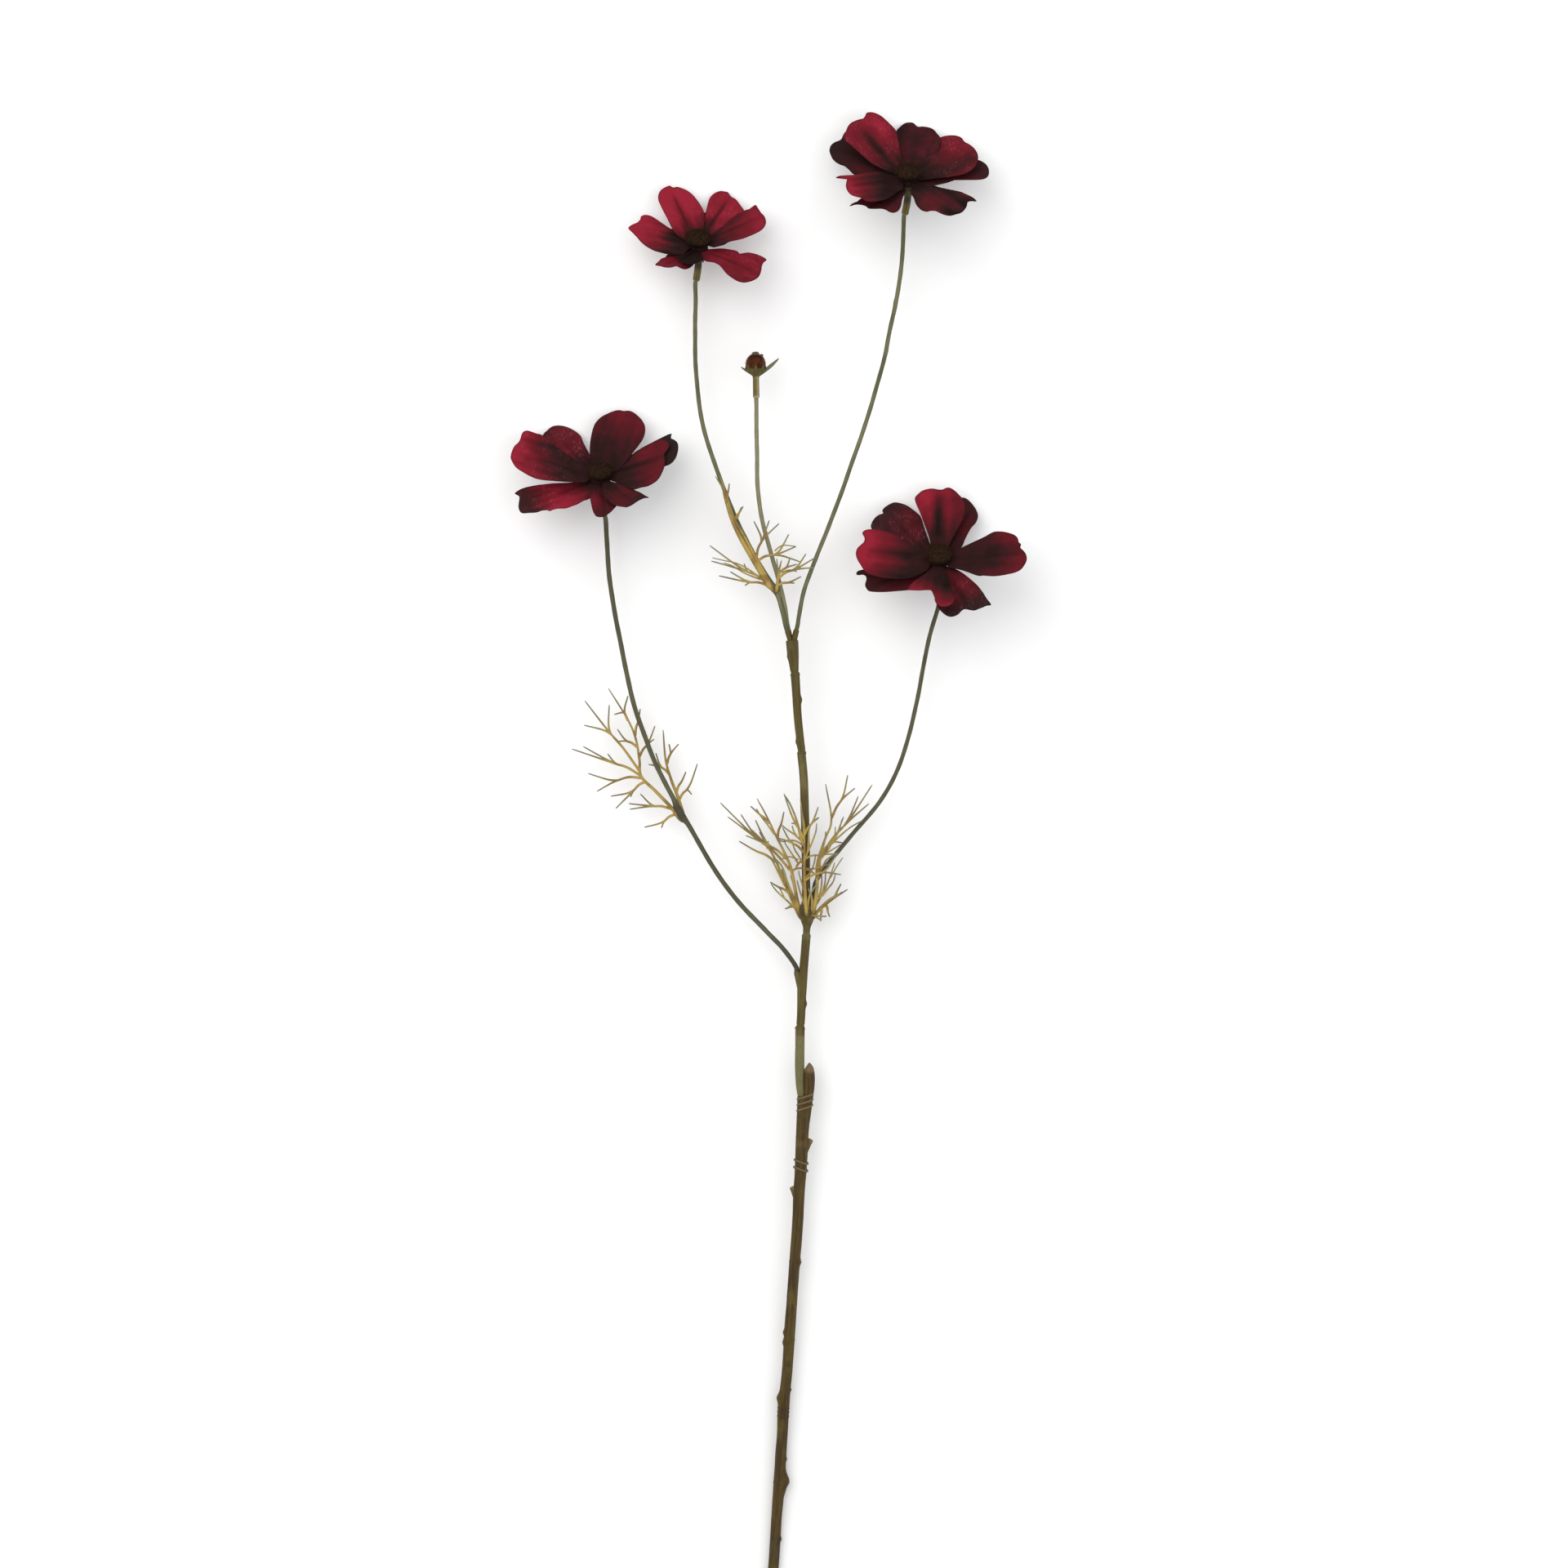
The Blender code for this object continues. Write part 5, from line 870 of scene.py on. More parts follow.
def petal_surface(facts, bloom, edge, s):
    """Middle surface of a petal in metres, with its length share u and width share v.

    On the drawing a ray runs from the foot to every point of the edge: it goes evenly along
    the petal, and across it as foot share + (1 - foot share) s^gather, as veins do. Over the
    bloom's plane the surface stands at lift + climb(u), whose slope is the angle
    rise + bend u^1.3, plus a cup |v|^1.6, a bell-shaped fold along it, fine pleats cos(13 v),
    and waves v^2 u^2 sin(9 u + 2.3 v) that grow towards the edge. The depth along the view is
    then found by stepping until drawing, plane and height agree.
    """
    lean = np.radians(bloom["tilt"])
    angle = np.radians(facts["turn"])
    centre = plan((*bloom["at"], bloom["height"]))
    start = PETAL_START * MM / UNIT
    foot = np.array(bloom["at"]) + [start * np.cos(angle), -start * np.sin(angle) * np.cos(lean)
                                    - facts["lift"] * MM / UNIT * np.sin(lean)]
    spine = unit((edge - foot).mean(0))
    aside = np.array([-spine[1], spine[0]])
    along = (edge - foot) @ spine
    across = (edge - foot) @ aside
    spread = FOOT_SHARE + (1 - FOOT_SHARE) * s ** facts["gather"]
    u = along[:, None] * s / along.max()
    v = across[:, None] * spread / np.abs(across).max()
    drawn = (foot + (along[:, None] * s)[..., None] * spine
             + (across[:, None] * spread)[..., None] * aside)

    half_width = np.abs(across).max() * UNIT / MM
    body = np.sin(np.pi * np.clip(u, 0, 1))
    fold_at, fold_width, _, fold_depth = facts["fold"]
    relief = facts["cup"] * half_width * np.abs(v) ** 1.6
    relief = relief - fold_depth * np.exp(-((v - fold_at) / fold_width) ** 2) * body
    relief = relief + PLEAT_HEIGHT * np.cos(v * 13 + facts["turn"]) * body
    relief = relief + facts["wave"] * v ** 2 * u ** 2 * np.sin(9 * u + 2.3 * v + facts["turn"])

    walk = np.linspace(0, 1.5, 301)
    slopes = np.radians(facts["rise"] + facts["bend"] * walk ** 1.3)
    climb = np.cumsum(np.tan(slopes)) * (walk[1] - walk[0]) * facts["length"]
    height = facts["lift"] + relief
    deep = np.full(height.shape, bloom["height"])
    for _ in range(DEPTH_STEPS):
        place = plan(np.concatenate([drawn, deep[..., None]], -1)) - centre
        out = (place[..., 1] / MM - height * np.sin(lean)) / np.cos(lean)
        reach = (place[..., 0] / MM * np.cos(angle) + out * np.sin(angle) - PETAL_START)
        reach = reach / facts["length"]
        wanted = facts["lift"] + relief + np.interp(reach, walk, climb)
        height = 0.5 * height + 0.5 * wanted
        deep = bloom["height"] - out * np.sin(lean) + height * np.cos(lean)
    return plan(np.concatenate([drawn, deep[..., None]], -1)), u, v


def petal_shape(facts, bloom, number):
    """A petal as a thin blade with its tone marks.

    red follows the petal's tones along it, with its fold, whose crease is darkened as painted
    shade, and its patches of painted light and shade added as bells; grey marks the green-black
    outer part, margin the thin dark edge, and the last mark the pale strokes of painted sheen.
    The grid's columns start just off the foot and crowd a little towards the edge.
    """
    rows, columns = PETAL_GRID
    s = 1 - 0.97 * (1 - np.linspace(0, 1, columns)) ** 1.2
    edge = rounded(facts["outline"], rows)
    middle, u, v = petal_surface(facts, bloom, edge, s[None])
    ragged = 0.035 * np.cos(v * 7 + number) + 0.03 * np.cos(v * 17 + 2 * number)
    red = read_off(facts["tones"], u + ragged)
    # The fold's change of tone darkens its crease: painted shade.
    fold_at, fold_width, crease_shade, _ = facts["fold"]
    fold = np.exp(-((v - fold_at) / fold_width) ** 2) * smoothstep(1.0, 0.6, u)
    red = red + crease_shade * fold * smoothstep(0.1, 0.5, u)
    # Patches: partly the cloth's own tone, partly painted light above 0 and painted shade below 0.
    for along, across, length, width, change in facts["patches"]:
        red = red + change * np.exp(-((u - along) / length) ** 2 - ((v - across) / width) ** 2)
    to_edge = np.linalg.norm(middle - middle[:, -1:], axis=2) / MM
    grey = facts["grey"] * smoothstep(0.55, 0.95, u + ragged)
    grain = np.stack([np.abs(v).max() * 10 * v, number * 11.0 + 0 * u, facts["length"] * u], -1)
    thickness = PETAL_THICKNESS * MM * (0.3 + 0.7 * smoothstep(0, 1.2, to_edge))
    # The last mark places pale strokes of painted sheen on the cloth, away from the fold.
    return sheet(middle, thickness, grain=grain, red=red, grey=grey,
                 margin=1 - smoothstep(0.15, 0.75, to_edge),
                 pile=facts["pile"] * smoothstep(0.15, 0.4, u) * (1 - 0.7 * fold))


def fibres(places, normals, length, radius, lean, seed, **marks):
    """Short hairs on a skin, sized in mm: thin three-sided cones, each leaning its own way.

    A hair runs from just under its place to place + length * unit(normal + lean * chance).
    """
    chance = np.random.default_rng(seed)
    count = len(places)
    ways = unit(normals + lean * chance.normal(size=(count, 3)))
    lengths = length * MM * chance.uniform(0.6, 1.25, count)[:, None, None]
    shares = np.array([-0.15, 0.5, 1.0])[None, :, None]
    paths = places[:, None] + ways[:, None] * shares * lengths
    radii = radius * MM * np.array([1.0, 0.8, 0.25]) * np.ones((count, 1))
    return tubes(paths, radii, 3, **marks)


def dome_places(profile, centre, axis, count):
    """Places and normals spread evenly over a turned skin, each a golden share of a turn on.

    Place i has (i + 1/2) / count of the skin's area above it.
    """
    profile = np.asarray(profile, float)
    steps = np.diff(profile, axis=0)
    area = np.linalg.norm(steps, axis=1) * (profile[1:, 0] + profile[:-1, 0])
    total = np.concatenate([[0], np.cumsum(area)])
    at = np.interp((np.arange(count) + 0.5) / count * total[-1], total, np.arange(len(profile)))
    span = np.minimum(at.astype(int), len(steps) - 1)
    pair = profile[span] + steps[span] * (at - span)[:, None]
    outward = np.stack([-steps[span, 1], steps[span, 0]], -1)
    across = unit(np.cross(axis, [1.0, 0.0, 0.0]))
    other = np.cross(axis, across)
    angle = np.arange(count) * TURN * GOLDEN_SHARE
    ring = np.cos(angle)[:, None] * across + np.sin(angle)[:, None] * other
    return (centre + MM * (pair[:, :1] * ring + pair[:, 1:] * axis),
            unit(outward[:, :1] * ring + outward[:, 1:] * axis))


def bend_line(start, corner, end, count):
    """Points on the curve that leaves start towards a corner and arrives at end from it.

    At t from 0 to 1, start counts for (1 - t)^2, corner for 2 t (1 - t) and end for t^2.
    """
    t = np.linspace(0, 1, count)[:, None]
    return start * (1 - t) ** 2 + corner * 2 * t * (1 - t) + end * t ** 2


def sepals(centre, axes, bend, count, first, widths, sides, flat, light):
    """Pointed sepals round the last axis, each bending through (distance, height) pairs in mm.

    A sepal is a flat tube whose radius runs over the widths at 0, 0.4 and 1 of its length.
    """
    right, over, up = axes
    blades = []
    for i in range(count):
        turn = TURN * (i + first) / count
        along = right * np.cos(turn) + over * np.sin(turn)
        corners = [centre + MM * (along * far + up * high) for far, high in bend]
        radii = np.interp(np.linspace(0, 1, SEPAL_RINGS), (0, 0.4, 1), widths) * MM
        blades.append(tubes(bend_line(*corners, SEPAL_RINGS)[None], radii[None], sides,
                            flat=flat, light=light))
    return blades


def build_bloom(key, bloom):
    """Petals, disc and calyx of one bloom; gives the stalk's end and its direction.

    The disc is wavy by sin(16 angle + 40 share) and the cup ribbed by cos(8 angle). The sleeve
    swells by sin(pi share) between its ends and has a small rim near the lower one.
    """
    axes = bloom_axes(bloom["tilt"])
    up = axes[2]
    centre = plan((*bloom["at"], bloom["height"]))
    petals = [petal_shape(facts, bloom, number + 3.0 * ord(key))
              for number, facts in enumerate(bloom["petals"])]
    hub = turned(HUB_PROFILE, centre, up, sides=40, grey=0.0, margin=0.0, red=-0.15, pile=0.0)
    make_piece(f"bloom_petals_{key}", joined(petals + [hub]), CLOTH, "petal_fabric",
               f"petals_{key}")

    disc = turned(DISC_PROFILE, centre, up, sides=64, light=0.0,
                  relief=lambda angle, share: 0.12 * np.sin(angle * 16 + share * 40))
    fuzz = fibres(*dome_places(DISC_PROFILE[:HAIRY_PAIRS], centre, up, count=1500),
                  length=0.75, radius=0.07, lean=0.55, seed=ord(key), light=0.5)
    make_piece(f"bloom_disc_{key}", joined([disc, fuzz]), DISC_FLOCK, "disc_flock", f"disc_{key}")

    # The cup is darkened: painted shade under the petals.
    cup = turned(CUP_PROFILE, centre, up, sides=40, light=-0.9,
                 relief=lambda angle, share: 0.1 * np.cos(angle * 8))
    neck = plan((*bloom["neck"], centre[2] / MM - bloom["drop"]))
    route = bend_line(centre + up * (CUP_TOP - SLEEVE_START) * MM,
                      centre + up * (CUP_TOP - SLEEVE_BEND) * MM, neck, SLEEVE_RINGS)
    share = np.linspace(0, 1, SLEEVE_RINGS)
    radii = (SLEEVE_RADIUS + 0.12 * np.sin(share * np.pi)
             + 0.1 * smoothstep(0.86, 0.97, share)) * MM
    radii[-1] *= 0.86
    # The sleeve's upper part is darkened as painted shade under the petals; its lower end is paler.
    light = 0.55 * smoothstep(0.93, 1.0, share) - smoothstep(0.62, 0.3, share)
    sleeve = tubes(route[None], radii[None], sides=28, light=light[None])
    # The sepals are darkened as well: painted shade under the petals.
    ring = sepals(centre, axes, SEPAL_BEND, count=8, first=0.5, widths=(0.7, 0.85, 0.12),
                  sides=8, flat=0.45, light=-0.8)
    make_piece(f"bloom_calyx_{key}", joined([cup, sleeve, *ring]), CALYX_SKIN, "calyx_green",
               f"calyx_{key}")
    return neck, unit(route[-1] - route[-2])


def stump_ends(key):
    """Where a stump starts and ends."""
    return [on_stem(x, y, above) for x, y, above in STUMPS[key][:2]]


def build_stalk(key, end, end_way):
    """A thin stalk from its stump to the end piece, with small swellings.

    The skin is a tube along the route, wavy by small sines along and round it; each knob adds a
    bump that fades along it as a bell and over a quarter turn round it.
    """
    base, foot = stump_ends(key)
    foot_way = unit(foot - base)
    share = (np.arange(len(STALKS[key])) + 1) / (len(STALKS[key]) + 1)
    height = (foot[2] + (end[2] - foot[2]) * share) / MM
    route = plan(np.concatenate([np.array(STALKS[key], float), height[:, None]], 1))
    line = np.concatenate([
        [foot - foot_way * STALK_INSET * MM, foot + foot_way * STALK_STRAIGHT * MM], route,
        [end + end_way * STALK_STRAIGHT * MM, end - end_way * STALK_INSET * MM]])
    rings = RINGS_PER_SPOT * len(route)
    path = smooth_line(line, rings)
    angle = np.arange(STALK_SIDES) * TURN / STALK_SIDES
    walked = np.linspace(0, len(route), rings)[:, None]
    relief = 0.03 * np.sin(walked * 5 + angle) + 0.025 * np.sin(walked * 13 + angle * 2)
    light = STALK_LIGHT[key] - 0.45 * smoothstep(0.12, 0.0, np.linspace(0, 1, rings))
    for x, y, way, size, length, tone in KNOBS.get(key, ()):
        spot = plan((x, y, DRAWN_HEIGHT / MM))
        near = np.exp(-(np.linalg.norm(path[:, :2] - spot[:2], axis=1) / (length * MM)) ** 2)
        relief = relief + size * near[:, None] * np.clip(way * np.cos(angle), 0, 1) ** 2
        light = light + tone * near
    radii = np.full(rings, STALK_RADIUS[key] * MM)
    radii[[0, -1]] *= 0.85
    skin = tubes(path[None], radii[None], STALK_SIDES, relief=(relief * MM)[None],
                 light=light[None])
    make_piece(f"thin_stalk_{key}", skin, STALK_SKIN, "olive_stalk", f"stalk_{key}")


def needle(path, radii, start, end, rings=16):
    """One leaf needle on a path: a flat tube, rounded at both ends, with two browner edges.

    The age mark runs from start to end along it, and the edge mark is |cos(angle)|^3.
    """
    line = smooth_line(path, rings)
    share = np.linspace(0, 1, rings)
    ends = np.clip((1.03 - share) / 0.08, 0, 1) * np.clip((share + 0.004) / 0.06, 0, 1)
    width = np.interp(share, [0, 1], radii) * np.sqrt(ends) * MM
    age = start + (end - start) * share
    edge = np.abs(np.cos(np.arange(NEEDLE_SIDES) * TURN / NEEDLE_SIDES)) ** 3 + 0 * age[:, None]
    return tubes(line[None], width[None], NEEDLE_SIDES, flat=0.62, age=age[None], edge=edge[None])


def build_leaf(name, leaf):
    """A feathery leaf: a rib with forked twigs that leave it at a slant, and loose needles.

    A twig follows start, corner, fork: the corner lies half way, moved along the rib's own
    direction by a tenth of the twig's length, so that the twig leaves the rib smoothly. Each
    further tip of a fork ends half a millimetre above the one before.
    """
    corners = plan(leaf["rib"])
    whole = np.concatenate([plan([LEAF_ROOTS[name]]), corners])
    parts = [needle(whole, [RIB_RADIUS * 1.1, TIP_RADIUS], 0.0, 0.8, 70)]
    steps = np.concatenate([[0], np.cumsum(np.linalg.norm(np.diff(corners, axis=0), axis=1))])
    ways = unit(np.gradient(corners, axis=0))
    for number, (start, fork_share, tips) in enumerate(leaf["twigs"]):
        foot, way = (np.array([np.interp(start * steps[-1], steps, table[:, axis])
                               for axis in range(3)]) for table in (corners, ways))
        rise = TWIG_RISES[number % 3] * leaf.get("rise", 1.0)
        ends = [plan((x, y, foot[2] / MM + rise + 0.5 * i)) for i, (x, y) in enumerate(tips)]
        middle = sum(ends) / len(ends)
        fork = foot + (middle - foot) * fork_share + np.array([0, 0, 0.3 * MM])
        reach = np.linalg.norm(fork - foot)
        corner = (foot + fork) / 2 + way * 0.1 * reach
        parts.append(needle([foot, corner, fork], [TWIG_RADIUS, FORK_RADIUS], 0.15, 0.4))
        out_way = unit(fork - corner)
        for end in ends:
            span = np.linalg.norm(end - fork)
            bow = fork + out_way * 0.1 * span + (end - fork) * 0.25
            parts.append(needle([fork - out_way * 1.2 * MM, fork, bow, end],
                                [FORK_RADIUS, TIP_RADIUS], 0.35, 1.0))
    for line, thick, thin in LOOSE_NEEDLES.get(name, ()):
        tip_age = 0.95 if thin < FORK_RADIUS else 0.35
        parts.append(needle(plan(line), [thick, thin], 0.2, tip_age, 6 * len(line)))
    make_piece(f"{name}_fronds", joined(parts), LEAF_SKIN, "leaf_ochre", name)


def bark(path, radii, sides, streak, tones, knots=(), ridges=()):
    """A stem's skin: a tube with streaks, knots, ridges round it and stretches of another tone.

    The streaks are five waves sin(n angle + a drift along the stem), weaker as n grows.
    Each knot (x, y, turn, height, length) swells by a bell curve along the stem and round it,
    and each ridge (y, height, length) runs round it, a groove where its height is below 0.
    Tones are stretches (y_low, y_high, amount): paler, or deeper where the amount is below 0.
    """
    angle = np.arange(sides) * TURN / sides
    walked = np.concatenate([[0], np.cumsum(np.linalg.norm(np.diff(path, axis=0), axis=1))]) / MM
    relief = np.zeros((len(path), sides))
    for k in range(5):
        wave = np.sin(angle * (k + 2) + 0.11 * (k + 1) * walked[:, None] + k)
        relief += streak * wave / (k + 2)
    for x, y, turn, height, length in knots:
        near = np.exp(-((path[:, 1] - on_stem(x, y)[1]) / (length * MM)) ** 2)[:, None]
        relief += height * near * np.exp(-((1 - np.cos(angle - turn)) / 0.35) ** 2)
    for y, height, length in ridges:
        near = np.exp(-((path[:, 1] - on_stem(MIDDLE, y)[1]) / (length * MM)) ** 2)[:, None]
        relief += height * near
    light = np.zeros(len(path))
    for y_low, y_high, amount in tones:
        low, high = on_stem(MIDDLE, y_low)[1], on_stem(MIDDLE, y_high)[1]
        light += amount * (smoothstep(low - MM, low + MM, path[:, 1])
                           * smoothstep(high + MM, high - MM, path[:, 1]))
    return tubes(path[None], radii[None], sides, relief=(relief * MM)[None], light=light[None])


def stem_path(spots, rings):
    """A stem's middle line and radii in metres from (x, y, radius) spots on the drawing."""
    x, y, radii = np.array(spots, float).T
    dense = smooth_line(np.column_stack([on_stem(x, y), radii * MM]), rings)
    return dense[:, :3], dense[:, 3]


def wire_turns(y_start, y_end, turns, radius, thickness, lean):
    """A thin tie wound round the stem: a helix that leans across it, its ends underneath.

    A point of its middle line is the stem's middle + radius * (cos, lean * cos, sin) of the
    angle wound so far.
    """
    share = np.linspace(0, 1, int(RINGS_PER_TURN * turns))
    y = y_start + (y_end - y_start) * share
    angle = TURN * (turns * share - 0.25)
    middle = on_stem(read_off(TIED_MIDDLE, y), y)
    middle[:, 0] += radius * MM * np.cos(angle)
    middle[:, 1] += lean * radius * MM * np.cos(angle)
    middle[:, 2] += radius * MM * np.sin(angle)
    ways = unit(np.gradient(middle, axis=0))
    outward = np.stack([np.cos(angle), np.zeros(len(share)), np.sin(angle)], -1)
    across = unit(np.cross(ways, outward))
    turn = np.arange(TIE_SIDES) * TURN / TIE_SIDES
    rings = middle[:, None] + thickness * MM * (np.cos(turn)[:, None] * outward[:, None]
                                                + np.sin(turn)[:, None] * across[:, None])
    grain = np.stack([np.cos(turn) + 0 * angle[:, None], np.sin(turn) + 0 * angle[:, None],
                      angle[:, None] * radius + 0 * turn], -1)
    # The rings are taken the other way round, so that the faces point outwards.
    return rings_shape(rings[None, :, ::-1], middle[:1], middle[-1:], grain=grain[None],
                       light=np.full((1, len(share), TIE_SIDES), 0.8))


def build_lower_stem():
    """The thick brown stem with its knots, cut side shoots and binding turns.

    Where it touches the surface it has a small flat: z is at least 0.
    """
    path, radii = stem_path(LOWER_STEM, rings=620)
    radii[[0, -1]] *= 0.9
    skin = bark(path, radii, sides=40, streak=0.1, tones=LOWER_TONES, knots=LOWER_KNOTS,
                ridges=LOWER_RIDGES)
    skin.points[:, 2] = np.maximum(skin.points[:, 2], 0.0)
    # The tongue's pale top is a painted highlight on its cut.
    tongue = bark(*stem_path(TONGUE, rings=60), sides=28, streak=0.06, tones=TONGUE_HIGHLIGHT)
    parts = [skin, tongue]
    parts += [wire_turns(*tie) for tie in TIES]
    share = np.linspace(0, 1, SHOOT_RINGS)
    for start, end, size in SIDE_SHOOTS:
        line = smooth_line([on_stem(*start), on_stem(*end)], SHOOT_RINGS)
        radii = read_off(SHOOT_RADII, share) * size * MM
        light = np.linspace(-0.2, 1.0, SHOOT_RINGS) ** 3
        parts.append(tubes(line[None], radii[None], sides=16, light=light[None]))
    make_piece("stem_bark_low", joined(parts), BROWN_BARK, "brown_stem", "lower_stem")


def build_upper_stem():
    """The green stem with its joint rings and leaf socket, and a stump for each stalk."""
    path, radii = stem_path(UPPER_STEM, rings=760)
    radii[[0, -1]] *= 0.85
    parts = [bark(path, radii, sides=32, streak=0.08, tones=UPPER_TONES, knots=UPPER_KNOTS,
                  ridges=UPPER_RIDGES)]
    for key, (_, _, radius) in STUMPS.items():
        line = smooth_line(stump_ends(key), STUMP_RINGS)
        widths = radius * read_off(STUMP_RADII, np.linspace(0, 1, STUMP_RINGS))
        parts.append(tubes(line[None], (widths * MM)[None], sides=18, light=-0.1))
    make_piece("stem_bark_top", joined(parts), OLIVE_BARK, "olive_stem", "upper_stem")


def build_bud():
    """The bud: a cup with two bracts and a sleeve, and a fuzzy head with three knots on it.

    The cup is ribbed by cos(7 angle), the head lumpy by cos(9 angle + 25 share), and the sleeve
    has a pale seam beside a dark one, each a bell round it. The function gives the stalk's end
    and its direction.
    """
    foot, cup = plan(BUD_FOOT), plan(BUD_CUP)
    way = unit(cup - foot)
    across = unit(np.cross(way, [0.0, 0.0, 1.0]))
    over = np.cross(across, way)
    bowl = turned(BUD_CUP_PROFILE, cup, way, sides=42, light=-0.45,
                  relief=lambda angle, share: 0.12 * np.cos(angle * 7))
    share = np.linspace(0, 1, BUD_SLEEVE_RINGS)[:, None]
    angle = np.arange(BUD_SLEEVE_SIDES) * TURN / BUD_SLEEVE_SIDES
    line = smooth_line([foot, cup - way * 0.8 * MM], BUD_SLEEVE_RINGS)
    radii = read_off(BUD_SLEEVE_RADII, share[:, 0]) * MM
    seam = 0.8 * np.exp(-((angle - 0.9) / 0.3) ** 2) - 0.9 * np.exp(-((angle - 0.45) / 0.15) ** 2)
    light = 0.05 + 0.95 * smoothstep(0.14, 0, share) + seam * smoothstep(1.0, 0.9, share)
    sleeve = tubes(line[None], radii[None], BUD_SLEEVE_SIDES, light=light[None])
    bracts = []
    share = np.linspace(0, 1, BRACT_RINGS)
    for corners, size in BUD_BRACTS:
        line = bend_line(*plan(corners), BRACT_RINGS)
        radii = read_off(BRACT_RADII, share) * size * MM
        light = read_off(BRACT_TONES, share)
        bracts.append(tubes(line[None], radii[None], sides=12, flat=0.5, light=light[None]))
    make_piece("bud_bracts", joined(bracts), STALK_SKIN, "olive_stalk", "bud_calyx")
    ring = sepals(cup, (across, over, way), BUD_SEPAL_BEND, count=7, first=0.75,
                  widths=(0.9, 0.95, 0.12), sides=10, flat=0.5, light=-0.5)
    make_piece("bud_cup", joined([bowl, sleeve, *ring]), CALYX_SKIN, "calyx_green", "bud_calyx")

    head = turned(BUD_HEAD_PROFILE, cup, way, sides=48, light=0.0,
                  relief=lambda angle, share: 0.22 * np.cos(angle * 9 + share * 25))
    places, normals = dome_places(BUD_HEAD_PROFILE[:HAIRY_PAIRS], cup, way, count=1800)
    # The hairs are paler at the head's left and right sides, a painted highlight along its outline,
    # and paler along each hair than at its root.
    side = np.abs(places[:, 0] - cup[0]) / (BUD_HEAD_RADIUS * MM)
    light = (0.2 + 1.3 * smoothstep(0.5, 0.95, side))[:, None] * np.array([0.3, 1.0, 1.0])
    fuzz = [fibres(places, normals, length=0.65, radius=0.07, lean=0.5, seed=7, light=light)]
    knots = []
    for far, high, size in BUD_KNOTS:
        spot = cup + MM * (across * far + way * high + over * 0.8)
        knots.append(turned(KNOT_PROFILE * size, spot, way, sides=24, light=-0.1,
                            relief=lambda angle, share: 0.08 * np.cos(angle * 5)))
        top = KNOT_PROFILE[:KNOT_HAIRY_PAIRS] * size
        fuzz.append(fibres(*dome_places(top, spot, way, count=90),
                           length=0.42, radius=0.055, lean=0.6, seed=8, light=0.8))
    make_piece("bud_knots", joined(knots), STALK_SKIN, "olive_stalk", "bud_head")
    make_piece("bud_fuzz", joined([head, *fuzz]), BUD_FLOCK, "bud_flock", "bud_head")
    return foot, -way


def add_node(tree, kind, settings=None, **inputs):
    """A shader node with its settings and inputs.

    An input goes by its label, with _ for a space, or by n and its number, and it may be a
    value or a socket.
    """
    node = tree.nodes.new(kind)
    for name, value in (settings or {}).items():
        setattr(node, name, value)
    for name, value in inputs.items():
        numbered = name[0] == "n" and name[1:].isdigit()
        socket = node.inputs[int(name[1:]) if numbered else name.replace("_", " ")]
        if isinstance(value, bpy.types.NodeSocket):
            tree.links.new(value, socket)
        else:
            socket.default_value = value
    return node


def maths(tree, operation, first, second, clamp=True):
    """Two values combined, and held between 0 and 1 unless clamp is off, as a socket."""
    node = add_node(tree, "ShaderNodeMath", {"operation": operation, "use_clamp": clamp},
                    n0=first, n1=second)
    return node.outputs[0]


def mixed(tree, share, first, second, most=None):
    """The colour between two colours at a share, or at that share times most, as a socket."""
    if most is not None:
        share = maths(tree, "MULTIPLY", share, most)
    node = add_node(tree, "ShaderNodeMix", {"data_type": "RGBA"}, n0=share, n6=first, n7=second)
    return node.outputs[2]


def remapped(tree, value, low, high, to_low=0.0, to_high=1.0):
    """A value carried from one range to another and held inside it, as a socket."""
    node = add_node(tree, "ShaderNodeMapRange", {"interpolation_type": "SMOOTHSTEP"},
                    n0=value, n1=low, n2=high, n3=to_low, n4=to_high)
    return node.outputs[0]


def mark(tree, name, output="Fac"):
    """A value that the mesh holds at its points."""
    return add_node(tree, "ShaderNodeAttribute", {"attribute_name": name}).outputs[output]


def noise(tree, scale, detail=2.0, roughness=0.5):
    """Soft noise over the whole spray, on Object coordinates, as a socket."""
    place = add_node(tree, "ShaderNodeTexCoord").outputs["Object"]
    return add_node(tree, "ShaderNodeTexNoise", Vector=place, Scale=scale, Detail=detail,
                    Roughness=roughness).outputs["Fac"]


def new_group(name, **inputs):
    """An empty shader group with named inputs that are plain values, and a Mask output."""
    group = bpy.data.node_groups.new(name, "ShaderNodeTree")
    for label, value in inputs.items():
        socket = group.interface.new_socket(label, in_out="INPUT", socket_type="NodeSocketFloat")
        socket.default_value = value
    group.interface.new_socket("Mask", in_out="OUTPUT", socket_type="NodeSocketFloat")
    return group, group.nodes.new("NodeGroupInput"), group.nodes.new("NodeGroupOutput")


